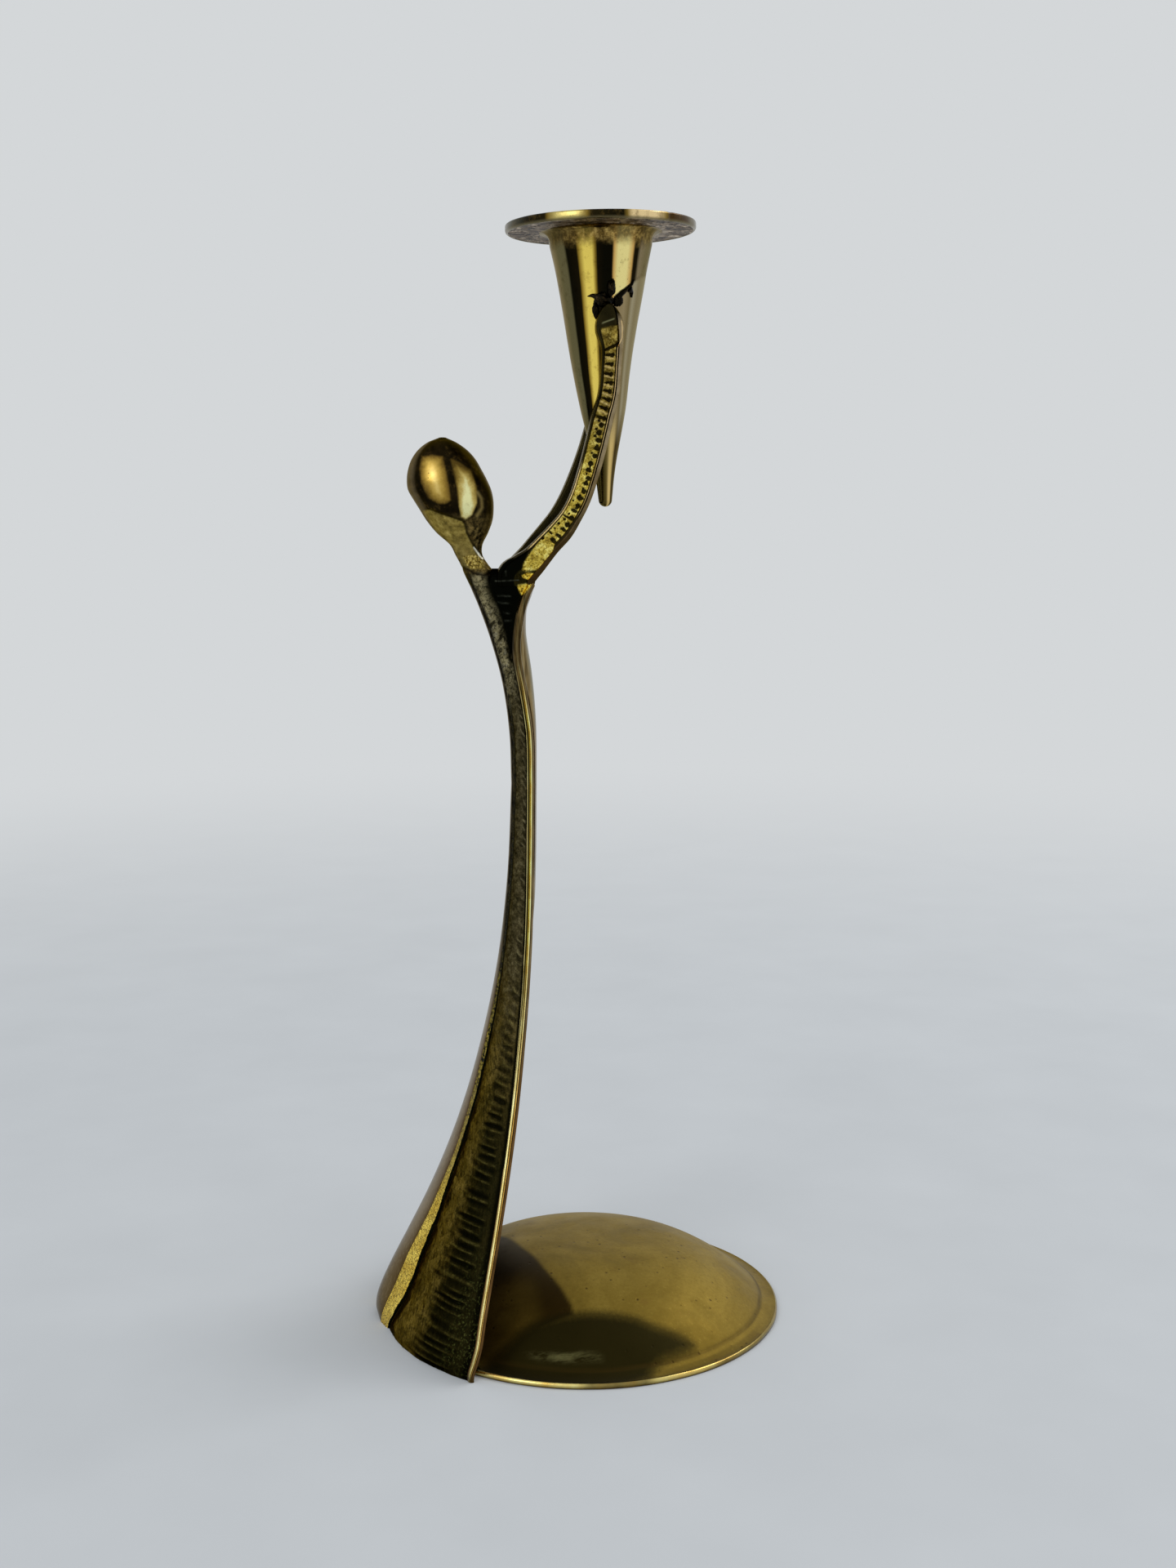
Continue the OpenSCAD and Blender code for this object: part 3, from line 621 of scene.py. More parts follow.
def body_half(z, cap):
    """Half of the outline at a height; cap runs from 0 to 1 over the closed shoulders."""
    w = mix(WAIST_W / 2, HEM_HALF, below(z, WIDTH))
    w += (SHOULDER_W - WAIST_W) / 2 * above(z, SHOULDER)
    back = mix(WAIST_BACK, HEM_R, below(z, BACK)) + SHOULDER_LEAN * above(z, LEAN)
    ridge = mix(WAIST_RIDGE, HEM_RIM_X, below(z, RIDGE)) + CHEST_SWAY * above(z, RIDGE_SWAY)
    front = mix(WAIST_FRONT, HEM_IN, below(z, FRONT, SEAM_TOP)) + CHEST_SWAY * above(z, NOSE_SWAY)
    front += 0.5 * ease(z, 220, 224)
    turn = math.radians(mix(HEM_ANGLE, 90, below(z, WRAP)))
    b = w / math.sin(turn)
    a = (back - ridge) / (1 - math.cos(turn))
    crown, deep = along(z, CROWN_Z), along(z, FACET_OFF_Z)
    band_w, facet_w, gutter = (along(z, rows) for rows in (BAND_Z, FACET_Z, GROOVE_Z))
    band_a = math.asin(min(band_w / b, 0.7))
    facet_a = math.asin(min((band_w + facet_w) / b, 0.82))
    slope_a = math.asin(min((band_w + facet_w + gutter) / b, 0.88))
    lip_a = turn - LIP_W / math.hypot(a * math.sin(turn), b * math.cos(turn))

    def skin(t, off):
        nx, ny = b * math.cos(t), -a * math.sin(t)
        size = math.hypot(nx, ny)
        return (a * (1 - math.cos(t)) - back + off * nx / size, b * math.sin(t) + off * ny / size)

    ahead = (a * math.sin(turn), b * math.cos(turn))
    size = math.hypot(*ahead)
    step = (ahead[0] / size, ahead[1] / size)
    side = (step[1], -step[0])
    corner = skin(turn, 0)
    rim = (corner[0] + RIM_W * step[0], corner[1] + RIM_W * step[1])
    edge = EDGE_T * below(z, EDGE)
    lip = (rim[0], rim[1] - edge / step[0])
    hollow = 2 * math.atan((lip[0] + front) / lip[1])
    if abs(hollow) < math.radians(1):
        hollow = math.radians(1)
    front_r = lip[1] / math.sin(hollow)
    width = math.hypot(a, b) * (lip_a - slope_a) * 0.72
    low = 1 - ease(z, 60, 120)
    chest = hill(z, 186, 208, 212, 223)
    inset = 0.55 * (1 - ease(z, 12, 60))
    floor = deep + mix(0.15, 0.5, low)
    rib_size = mix(0.25, 0.48, low)
    out = []
    for zone, s in BODY_COLUMNS:
        crest = mark = 0
        if zone == BAND:
            x, y = skin(band_a * s, crown * s * s)
        elif zone == FACET:
            t = mix(band_a, facet_a, s)
            off = mix(crown, deep, s) + 0.12 * s * (1 - s)
            if 0 < s < 1:
                off += 0.1 * grain(s * facet_w, z, 2, 0.9, 5)
            jag = 0.5 * grain(0, z, 0, 3.2, 8) + 0.3 * grain(0, z, 0, 1.1, 9)
            t += s * jag * low / max(b, 8)
            x, y = skin(t, off)
        elif zone == GROOVE:
            off = mix(deep, floor, s) + 0.4 * math.sin(math.pi * s) * low
            x, y = skin(mix(facet_a, slope_a, s), off)
        elif zone == PANEL:
            t = mix(slope_a, lip_a, s)
            off = mix(floor, RIM_STEP, s ** 0.7) + 1.7 * chest * math.sin(math.pi * s ** 0.8)
            crest, where = rib_height(s, z)
            where *= 1 - chest
            lump = 0.22 * grain(s * width, 0, z, 6, 6) + 0.1 * grain(s * width, 0, z, 1.5, 7)
            fade = min(1, s * 8, (1 - s) * 8)
            off -= rib_size * (crest - 0.5) * where * fade + lump * fade
            crest = mix(0.5, crest, where)
            x, y = skin(t, max(off, 0.1))
        elif zone == RIM:
            gap = 1 - ease(abs(s - RIM_GAP), 0.012, 0.055)
            first = 0.14 * (1 - math.sin(math.pi * clamp(s / 0.3)))
            second = 0.12 * (1 - math.sin(math.pi * clamp((s - 0.39) / 0.25)))
            off = 0.4 * gap + (first if s < RIM_GAP else second)
            if s > RIM_SIDE:
                off += 0.1 + 0.5 * ((s - RIM_SIDE) / (1 - RIM_SIDE)) ** 2
            off *= 1 - 0.8 * ease(z, 188, 204)
            mark = gap * (1 - ease(z, 188, 204))
            run = mix(inset, RIM_W, s)
            x = corner[0] + run * step[0] + off * side[0]
            y = corner[1] + run * step[1] + off * side[1]
            if s == 1:
                lip = (lip[0], min(lip[1], y - 0.02))
                rim = (x, y)
        elif zone == EDGE_FACE:
            x, y = mix(rim[0], lip[0], s), mix(rim[1], lip[1], s)
        else:
            t = hollow * (1 - s)
            x, y = front_r * (1 - math.cos(t)) - front, front_r * math.sin(t)
        if cap:
            shrink = math.sqrt(max(1 - cap * cap, 0))
            y *= mix(0.12, 1, shrink) if cap < 1 else 0.12
            x += cap * CAP_H * mix(0.75, -0.42, clamp((x + back) / (back - front)))
        out.append((x, y, s, crest, mark, s * width if zone == PANEL else 0))
    return out


def build_body():
    levels = [(SHOULDER_Z * (i / 560) ** 1.06, 0) for i in range(561)]
    levels += [(SHOULDER_Z, i / 14) for i in range(1, 15)]
    rings = []
    for level, cap in levels:
        z = level + CAP_H * cap
        half = body_half(level, cap)
        whole = half + [(x, -y, *rest) for x, y, *rest in half[-2:0:-1]]
        rings.append([(x + FRAME_X, y, z, {
            "along": s, "crest": crest, "mark": mark, "reach": reach * MM, "up": z / SHOULDER_Z,
            "rise": z * MM, **shoulder_marks(x, z), **chest_marks(x, z)})
            for x, y, s, crest, mark, reach in whole])
    last = len(BODY_COLUMNS) - 1

    def cell(i, _):
        return BODY_COLUMNS[i + 1 if i < last else 2 * last - i][0]

    make("figure_body", rings, [band_paint(), facet_paint(), groove_paint(), panel_paint(),
                                rim_paint(), edge_paint(), front_paint()],
         "gown_brass", "body", cell=cell, sharp=48)


def panel_paint():
    """The dark cast sides of the gown: brown at the back, black with ribs toward the rim; the
    black, the rib valleys and the gutter are painted shade, the light on the crests painted
    highlight.
    """
    p = Paint("gown_cast_brass")
    s, up, crest = p.attr("along"), p.attr("up"), p.attr("crest")
    side = p.node("ShaderNodeCombineXYZ", {"X": p.attr("reach"), "Y": p.attr("rise")})
    flat = p.grid(side.outputs[0], (2.6, 0.8, 1), (0, 0, math.radians(-55)))
    cloud = p.noise(7, 6, 0.65, twist=0.5)
    p.colour = p.ramp(cloud, [(0.3, 58, 51, 22), (0.5, 96, 81, 37), (0.68, 124, 105, 54)])
    blot = p.noise(2.4, 5, 0.7)
    p.lay(tone(34, 32, 13), p.fall(blot, 0.38, 0.5, 0.6))
    streak = p.noise(1.1, 3, 0.6, at=flat)
    p.lay(tone(34, 30, 12), p.fall(streak, 0.36, 0.5, 0.6))
    p.lay(tone(140, 120, 68), p.rise(streak, 0.6, 0.76, 0.45))
    wobble = p.waver(p.noise(4, 4), 0.45)
    reach = p.add(s, wobble)
    # painted shade: darker by the groove and toward the rim, on the lower gown
    dark = p.ramp(reach, [(0, 0.97), (0.09, 0.9), (0.17, 0), (0.38, 0.05), (0.58, 0.93)])
    low = p.ramp(up, [(0.22, 1), (0.36, 0.75), (0.46, 0.35), (0.6, 0)])
    p.lay(tone(17, 18, 7), dark, low)
    stem = p.ramp(p.noise(1.8, 5, 0.7),
                  [(0.34, 32, 29, 15), (0.5, 62, 55, 34), (0.68, 94, 86, 60)])
    p.lay(stem, p.rise(up, 0.34, 0.5))
    p.chest(p.rise(up, 0.83, 0.89))
    # painted shade in the rib valleys
    valley = p.fall(crest, 0.1, 0.46)
    deep = p.ramp(up, [(0.3, 0.93), (0.5, 0.5)])
    p.lay(rgb(10, 11, 5), valley, deep)
    # painted highlight on the rib crests
    crest_light = p.mul(p.rise(crest, 0.56, 0.9, 0.8),
                  p.ramp(p.noise(2.2, 4), [(0.42, 0.2), (0.66, 1)]))
    p.lay(p.ramp(up, [(0.4, 92, 84, 42), (0.6, 116, 108, 82)]), crest_light)
    # painted shade in the gutter by the rim
    gutter = p.rise(s, 0.92, 0.965, 0.95)
    p.lay(rgb(9, 9, 4), gutter)
    moss = p.mul(p.rise(p.noise(0.8, 3, 0.7), 0.55, 0.66, 0.6),
                 p.mul(p.rise(s, 0.72, 0.82), p.fall(up, 0.06, 0.16)))
    p.lay(tone(84, 88, 44), moss)
    fine = p.noise(0.6, 4, 0.75)
    p.lay(rgb(12, 10, 4), p.fall(fine, 0.4, 0.54, 0.45))
    p.marks()
    shine = p.ramp(p.noise(2.5, 5), [(0.3, 0.34), (0.75, 0.56)])
    return p.finish(shine, p.add(fine, streak), 0.14, tint=(0.42, 0.36, 0.2))


def facet_paint():
    p = Paint("facet_granular_brass")
    up = p.attr("up")
    wander = p.noise(1, 2, 0.5)
    worm = p.math("ABSOLUTE", p.sub(wander, 0.5))
    p.colour = p.ramp(p.noise(5, 4), [(0.3, 186, 152, 50), (0.7, 232, 198, 92)])
    p.lay(tone(92, 70, 14), p.fall(worm, 0.015, 0.045, 0.8))
    grit = p.noise(0.45, 2, 0.6)
    p.lay(tone(88, 64, 12), p.fall(grit, 0.34, 0.42, 0.8))
    olive = p.ramp(p.noise(1.1, 4, 0.7),
                   [(0.44, 20, 19, 7), (0.52, 112, 98, 36), (0.66, 152, 134, 56)])
    p.lay(olive, p.ramp(up, [(0.15, 0), (0.24, 0.6), (0.36, 1)]))
    gone = p.rise(p.add(up, p.mul(p.noise(1.6, 3), 0.2)), 0.5, 0.6, 0.92)
    p.lay(tone(18, 16, 8), gone)
    p.chest(p.rise(up, 0.83, 0.89))
    return p.finish(0.38, p.add(p.mul(worm, 3), grit), 0.22)


def groove_paint():
    p = Paint("groove_dark_brass")
    # the groove, painted nearly black as shade
    p.colour = p.ramp(p.noise(1.8, 5, 0.7),
                      [(0.45, rgb(8, 9, 4)), (0.66, rgb(22, 22, 9)), (0.82, rgb(62, 52, 22))])
    fade = p.ramp(p.attr("up"), [(0.4, 0), (0.6, 0.6), (1, 0.6)])
    olive = p.ramp(p.noise(1.6, 4), [(0.3, rgb(20, 18, 9)), (0.7, rgb(60, 55, 36))])
    p.lay(olive, fade)
    p.chest(p.rise(p.attr("up"), 0.83, 0.89))
    return p.finish(0.6, p.noise(0.6, 4), 0.12, tint=(0.3, 0.28, 0.15))


def band_paint():
    """The polished strip down the back: grey brown, with a brown edge and a dark stem."""
    p = Paint("band_polished_brass")
    s, up = p.attr("along"), p.attr("up")
    cloud = p.noise(14, 5, 0.6)
    p.colour = p.ramp(cloud, [(0.3, 112, 98, 78), (0.7, 146, 134, 114)])
    edge = p.ramp(s, [(0, 0), (0.5, 0.15), (0.8, 0.55), (0.96, 0.95)])
    p.lay(tone(66, 46, 22), edge)
    p.lay(tone(84, 68, 36), p.fall(up, 0.06, 0.24, 0.6))
    stem = p.rise(up, 0.42, 0.56, 0.8)
    olive = p.ramp(p.noise(1.6, 4, 0.7), [(0.35, 24, 24, 12), (0.7, 74, 66, 40)])
    p.lay(olive, stem, p.ramp(s, [(0.2, 0.35), (0.7, 1)]))
    flank = p.mul(p.rise(s, 0.45, 0.7, 0.95), p.rise(up, 0.5, 0.6))
    p.lay(rgb(14, 12, 6), flank)
    hair = p.noise(0.5, 3, 0.6, at=p.stretch(1, 1, 0.12))
    p.lay(tone(170, 154, 120), p.rise(hair, 0.5, 0.75, 0.2))
    return p.finish(p.ramp(cloud, [(0.3, 0.22), (0.7, 0.36)]), hair, 0.02)


def rim_paint():
    """The two bright lines along the gown's front edges as painted highlights, painted shade in
    the gaps beside them, and the brown strip beside them.
    """
    p = Paint("rim_bright_brass")
    s, up = p.attr("along"), p.attr("up")
    high = p.rise(up, 0.32, 0.5)
    spots = p.noise(6, 4)
    pale = p.ramp(spots, [(0.3, 196, 172, 96), (0.7, 236, 218, 156)])
    dim = p.ramp(spots, [(0.3, 96, 80, 28), (0.7, 130, 110, 44)])
    bronze = p.ramp(spots, [(0.3, 134, 102, 44), (0.7, 178, 142, 72)])
    gold = p.ramp(spots, [(0.3, 206, 180, 104), (0.7, 240, 222, 160)])
    # painted highlights on the two rim lines
    first = p.blend(high, pale, dim)
    second = p.blend(high, bronze, gold)
    brown = p.ramp(p.noise(9, 4), [(0.3, 70, 48, 22), (0.7, 108, 80, 46)])
    grey = p.ramp(p.noise(7, 4), [(0.3, 92, 74, 46), (0.7, 128, 112, 82)])
    side = p.blend(high, brown, grey)
    shift = p.mul(high, 0.06)
    p.colour = p.blend(p.rise(p.add(s, shift), 0.335, 0.35), first, second)
    p.lay(side, p.rise(s, 0.58, 0.62))
    # painted shade in the ditch, in the gap between the lines and at the rim's start
    ditch = p.ramp(s, [(0.56, 0), (0.6, 0.9), (0.66, 0.9), (0.74, 0)])
    p.lay(rgb(30, 19, 6), ditch)
    gap = p.mul(p.rise(p.attr("mark"), 0.15, 0.5, 0.96), p.ramp(high, [(0.3, 1), (1, 0.15)]))
    p.lay(rgb(26, 17, 5), gap)
    start = p.fall(p.sub(s, p.mul(high, 0.13)), 0, 0.05, 0.95)
    p.lay(rgb(16, 14, 5), start)
    stripes = p.ramp(p.noise(0.8, 3, 0.6, at=p.stretch(1, 1, 0.06)),
                     [(0.35, 44, 34, 16), (0.65, 104, 84, 50)])
    p.lay(stripes, p.rise(up, 0.84, 0.9, 0.95))
    foot = p.fall(up, 0.004, 0.012, 0.8)
    p.lay(tone(70, 52, 26), foot)
    p.marks()
    return p.finish(p.ramp(p.noise(3, 4), [(0.3, 0.18), (0.7, 0.32)]), p.noise(0.8, 3), 0.02)


def edge_paint():
    return brass("edge_brown_brass", tone(58, 40, 18), tone(88, 64, 32), tone(120, 94, 54),
                 spot=8)


def front_paint():
    """The stem's polished front, and the hollow of the gown below it, darker with painted shade.
    """
    p = Paint("stem_front_brass")
    up, s = p.attr("up"), p.attr("along")
    cloud = p.noise(11, 5, 0.6, at=p.stretch(1, 1, 0.35))
    stem = p.ramp(cloud, [(0.3, 84, 64, 34), (0.55, 116, 94, 54), (0.75, 146, 128, 88)])
    grey = p.rise(s, 0.2, 0.5, 0.75)
    stem = p.blend(grey, stem, tone(132, 128, 108))
    streak = p.noise(1, 3, 0.6, at=p.stretch(1, 1, 0.05))
    chest = p.ramp(streak, [(0.36, 66, 52, 28), (0.52, 114, 96, 60), (0.66, 144, 128, 94)])
    stem = p.blend(p.mul(p.rise(up, 0.8, 0.88, 0.85), p.fall(s, 0.3, 0.6)), stem, chest)
    # painted shade in the hollow
    hollow = p.ramp(p.noise(8, 6, 0.65), [(0.3, 34, 24, 9), (0.7, 82, 62, 30)])
    where = p.rise(up, 0.38, 0.47)
    p.colour = p.blend(where, hollow, stem)
    hair = p.noise(0.5, 3, 0.6, at=p.stretch(1, 1, 0.12))
    return p.finish(p.ramp(cloud, [(0.3, 0.22), (0.7, 0.36)]), hair, 0.03)


# Head

LOBES = [[(-48.1, 261.1), (-45.4, 261.5), (-42.5, 261.1), (-42, 258.1), (-40.5, 248.8),
          (-42.2, 247.8), (-44.2, 248), (-46.7, 249.5), (-48.6, 253.9), (-49, 257.7)],
         [(-40, 260.4), (-37.6, 259.4), (-34.2, 256.9), (-33, 252.2), (-33, 248),
          (-34.4, 244.8), (-36.1, 243.6), (-37.2, 244.2), (-37.9, 247.1), (-38.4, 252.2),
          (-39.3, 256.4)]]
SECOND_GLEAM = [(-32.6, 251), (-31.4, 249.3), (-31.2, 246.7), (-32.7, 244.4)]
JAW = [(-46, 246.1), (-44.8, 245.5), (-40.8, 244.2), (-37, 243), (-36.1, 242),
       (-35.5, 239.5), (-33.7, 236.5), (-31.6, 233.6), (-30.6, 232.4)]
NECK_FACET = [(-50, 245.5), (-46, 246.1), (-44.8, 245.5), (-40.8, 244.2), (-37, 243),
              (-36.1, 242), (-35.5, 239.5), (-33.7, 236.5), (-31.6, 233.6), (-30, 229.3),
              (-38.5, 229.3)]
NECK_GILT = [(-37.1, 232.6), (-33.2, 233.2), (-31.1, 232.5), (-30.2, 229.1), (-34.5, 228.9),
             (-35.8, 230.4)]
NECK_RING = [(-36.4, 229.3), (-33.4, 227.7), (-30.6, 227.1), (-27.8, 227.8), (-25.6, 229)]
NECK_GLEAM = [(-33.1, 235.1), (-31.7, 233.4), (-30.6, 232)]


def build_head():
    rings, sides, count = [], 200, 220
    for j in range(count + 1):
        s = 1 - (1 - j / count) ** 1.25
        front = SHOULDER_BACK + HEAD_D * along(s, HEAD_FRONT)
        back = SHOULDER_BACK + HEAD_D * along(s, HEAD_BACK)
        half = HEAD_W / 2 * along(s, HEAD_HALF)
        middle, reach = -(front + back) / 2, (back - front) / 2
        z = SHOULDER_Z + HEAD_H * s
        ring = []
        for a in around(sides):
            u, y = middle + reach * math.cos(a), -half * math.sin(a)
            flank = ease(abs(math.sin(a)), 0.1, 0.4)
            facet = cover(u, z, NECK_FACET, 0.3) * flank
            crease = near(u, z, JAW, 0.4) * flank
            collar = near(u, z, NECK_RING, 0.55)
            chin = hill(z, 230, 233, 241, 245) * (1 - facet) * flank
            left, right = (clamp(0.3 + depth_in(u, z, lobe) / 8) * flank for lobe in LOBES)
            inward = 0.5 * facet * ease(z, 229, 232) + 0.28 * crease + 0.2 * collar
            inward += 0.1 * grain(u, y, z, 7, 11) * ease(s, 0.1, 0.3)
            inward += 0.16 * chin * grain(u, y, z, 1.6, 12)
            stay = 1 - min(max(inward, 0) / max(math.hypot(u - middle, y), 1e-6), 0.4)
            # turn places the painted reflections by the angle from the camera's side
            turn = math.cos(a + math.copysign(CAMERA_TURN, math.sin(a)))
            ring.append((mix(middle, u, stay) + FRAME_X, y * stay, z, {
                "turn": (turn + 1) / 2, "up": s, "facet": facet, "crease": crease,
                "patch": cover(u, z, NECK_GILT, 0.3) * flank, "left": left, "right": right,
                "second": near(u, z, SECOND_GLEAM, 0.5) * flank,
                "gleam": near(u, z, NECK_GLEAM, 0.35) * flank, "ring": collar,
                **chest_marks(u, z)}))
        rings.append(ring)
    top = rings[-1]
    middle = sum(point[0] for point in top) / sides
    for step in range(1, 5):
        turn = math.radians(22 * step)
        rings.append([(mix(middle, x, math.cos(turn)), y * math.cos(turn),
                       z + CROWN_H * math.sin(turn), marks) for x, y, z, marks in top])
    make("figure_head", rings, [head_paint()], "polished_brass", "head", sharp=70)


def head_paint():
    """Polished brass with painted reflections: two bright lobes in a black surround, with a duller
    neck.
    """
    p = Paint("head_polished_brass")
    turn, up = p.attr("turn"), p.attr("up")
    cloud = p.noise(4, 6, 0.65)
    # painted reflections: black surround and grey brown rim at the outline
    black = p.ramp(cloud, [(0.35, 14, 11, 5), (0.7, 38, 29, 14)])
    rim = p.ramp(cloud, [(0.3, 74, 62, 44), (0.7, 108, 96, 74)])
    edge = p.ramp(turn, [(0.02, 1), (0.06, 0), (0.93, 0), (0.97, 1)])
    p.colour = p.blend(p.mul(edge, 0.8), black, rim)
    chin = p.ramp(p.noise(1.5, 4, 0.7), [(0.38, 36, 30, 14), (0.65, 124, 104, 58)])
    p.lay(chin, p.fall(up, 0.4, 0.5))
    # uneven edges for the painted reflections of the lobes
    stain_and_sheen = p.waver(p.noise(3, 6, 0.7), 0.4)
    left = p.add(p.attr("left"), stain_and_sheen)
    # left lobe: painted reflection
    gold = p.ramp(left, [(0.24, 64, 48, 18), (0.33, 110, 86, 36), (0.44, 146, 118, 50),
                         (0.58, 178, 148, 72), (0.74, 204, 178, 104)])
    p.lay(gold, p.rise(p.attr("left"), 0.24, 0.32))
    # right lobe: painted reflection, paler lower down
    high = p.add(p.add(p.attr("right"), stain_and_sheen), p.mul(p.sub(0.68, up), 1.1))
    pale = p.ramp(high, [(0.2, 84, 66, 26), (0.34, 136, 112, 50), (0.48, 186, 164, 92),
                         (0.62, 236, 220, 162)])
    p.lay(pale, p.rise(p.attr("right"), 0.24, 0.32))
    # second painted reflection
    p.lay(tone(150, 130, 76), p.attr("second"), 0.5)
    neck = p.ramp(p.noise(2.6, 6, 0.7),
                  [(0.34, 84, 72, 32), (0.5, 132, 114, 54), (0.68, 176, 156, 86)])
    neck = p.blend(p.fall(up, 0.14, 0.36, 0.6), neck, tone(74, 68, 44))
    p.lay(neck, p.attr("facet"))
    # painted shade in the jaw crease
    p.lay(rgb(14, 11, 5), p.attr("crease"), 0.92)
    gilt = p.ramp(p.noise(0.7, 3, 0.7),
                  [(0.38, 60, 48, 18), (0.55, 150, 128, 58), (0.68, 204, 186, 116)])
    p.lay(gilt, p.attr("patch"))
    # painted highlight on the neck
    p.lay(tone(220, 216, 196), p.rise(p.attr("gleam"), 0.3, 0.8))
    p.chest(p.fall(up, 0.075, 0.1))
    # painted shade in the neck ring
    p.lay(rgb(24, 18, 9), p.attr("ring"), 0.92)
    wear = p.rise(p.noise(2, 5, 0.7), 0.55, 0.75, 0.35)
    p.lay(tone(116, 90, 44), wear)
    hole = p.pits(1.3, (0.06, 0.16), p.noise(3.2, 2), 0.56, 0.64)
    p.lay(rgb(30, 24, 8), hole, 0.5)
    return p.finish(p.ramp(cloud, [(0.3, 0.26), (0.7, 0.42)]), p.sub(p.mul(cloud, 0.3), hole),
                    0.05, tint=(0.7, 0.62, 0.46))


# Arms


def cup_side(s):
    return CUP_R * along(s, CUP), mix(TIP_R, CUP_SIDE_H, s)


def cup_radius(z):
    return cup_side((z - CUP_Z - TIP_R) / (CUP_SIDE_H - TIP_R))[0]


ROOT_FRONT = WAIST_FRONT + CHEST_SWAY * above(SHOULDER_Z, NOSE_SWAY)
ROOT_X = (ROOT_FRONT + SHOULDER_BACK - NECK_D) / 2
REACH_X = ROOT_X + CUP_X
REACH_Z = HAND_Z - SHOULDER_Z


def arm_rows(bend):
    """The arm's stations: number, ahead, aside, height, depth and width in millimetres."""
    rows = []
    for i, (ahead, rise, depth, width, spread, hand, sway) in enumerate(ARM):
        z = SHOULDER_Z + rise * REACH_Z
        seat = cup_radius(z) + HAND_GAP + ARM_T * width / 2
        y = mix(mix(ARM_T * ARM[0][3] / 2, ARM_SPREAD / 2, spread), seat, hand)
        x = ahead * REACH_X - ROOT_X + sway * bend
        rows.append([i, x, y, z, depth * ARM_D, width * ARM_T])
    return rows


ARM_FACE = ([.075, .085, .095] + [.105 + .56 * i / 27 for i in range(28)]
            + [.675, .685, .695, .705, .713, .72, .727, .735, .745, .755, .765, .775, .785])
BACK_R, INNER_R, FRONT_SHARE, FRONT_W = 0.4, 0.8, 0.8, 1.4
ARM_COLUMNS = ([("back", i / 3) for i in range(4)] + [("face", s) for s in ARM_FACE]
               + [("front", i / 8) for i in range(9)] + [("low", i / 4) for i in range(5)]
               + [("flat", i / 7) for i in range(1, 7)] + [("heel", i / 4) for i in range(5)])


def arm_pits(seed):
    """Places of the pits along the arm: (reach, share, length, width, bow)."""
    dice = random.Random(seed)
    pits, s = [(15.8, 0.16, 0.5, 0.055, 0), (25.5, 0.4, 0.3, 0.4, 0.4)], 17.4
    while s < 56:
        pits.append((s, dice.uniform(0.44, 0.56), dice.uniform(0.5, 0.8), dice.uniform(0.12, 0.17),
                     dice.uniform(-0.9, 0.6)))
        if dice.random() < 0.75:
            pits.append((s + dice.uniform(0.5, 1.2), dice.uniform(0.22, 0.62),
                         dice.uniform(0.24, 0.42), dice.uniform(0.05, 0.09), 0))
        s += dice.uniform(1.6, 2.4)
    while s < 74.5:
        place = dice.uniform(0.34, 0.4)
        pits.append((s, place, dice.uniform(0.34, 0.46), dice.uniform(0.21, 0.26),
                     dice.uniform(-0.6, 0.4)))
        pits.append((s - 0.1, place + 0.16, dice.uniform(0.6, 0.8), dice.uniform(0.09, 0.12), 0))
        s += dice.uniform(2.4, 2.8)
    return pits


def arm_ridge(s, length):
    """The bright line along the front of the face, and out over the palm's edge: a painted
    highlight.
    """
    place = 0.724 + 0.16 * ease(length, 75.5, 79)
    return bell(s, place, 0.017) * hill(length, 23, 32, 83.4, 84.4)


def arm_face(s, length, pits, seed):
    """Depth and marks at a share of the way from the arm's back edge to its front edge."""
    leaf = ease(length, 76.2, 77.2)
    tip = ease(length - 1.2 * s, 81.2, 81.8)
    start = 0.1 + 0.34 * math.exp(-max(length - 5, 0) / 4.2) + 0.05 * ease(length, 48, 62)
    start += 0.02 * grain(0, 0, length, 2.5, seed)
    end = mix(0.785, 0.655, ease(length, 14.6, 17.4)) + 0.1 * leaf
    bed = hill(s, start - 0.02, start + 0.03, end - 0.02, end + 0.02)
    ridge = arm_ridge(s, length)
    pit = 0
    for at, place, size, wide, bow in pits:
        if abs(at - length) < 1.8:
            across = (s - place) / wide
            way = (length - at - bow * across * across * 0.3) / size
            pit = max(pit, math.exp(-(across ** 2 + way ** 2) ** 1.3))
    # painted shade in the pits and the wrist crease
    pit = max(pit * (1 - leaf), bell(length, 75.2 + 2.5 * s, 0.5)) * bed
    rough = 0.16 * grain(s * 6, 3, length, 1.1, seed) + 0.08 * grain(s * 6, 9, length, 0.5, seed)
    rough += 0.22 * grain(s * 5, 5, length, 1.6, seed + 3) * ease(length, 24, 34)
    rough += 0.2 * grain(s * 5, 5, length, 1.3, seed + 4) * leaf
    low = 0.5 * hill(s, 0.085, 0.13, end - 0.01, end + 0.03) * (1 - 0.8 * tip)
    low += rough * bed * (1 - tip) + 0.35 * pit + 0.12 * ease(s, 0.07, 0.085) - 0.05 * ridge
    low += 0.3 * bell(s, 0.765, 0.015) * ease(length, 23, 32)
    # bright: painted highlight along the ridge; fold: painted highlight along the hand's fold;
    # pit: painted shade
    return max(low, 0), {
        "gold": bed * (1 - tip), "bright": ridge, "pit": pit,
        "tan": ease(s, 0.76, 0.8) * ease(length, 17, 36),
        "fold": bell(length, 82.5 + 2.6 * s, 0.2) * hill(s, 0.16, 0.24, 0.62, 0.7)}


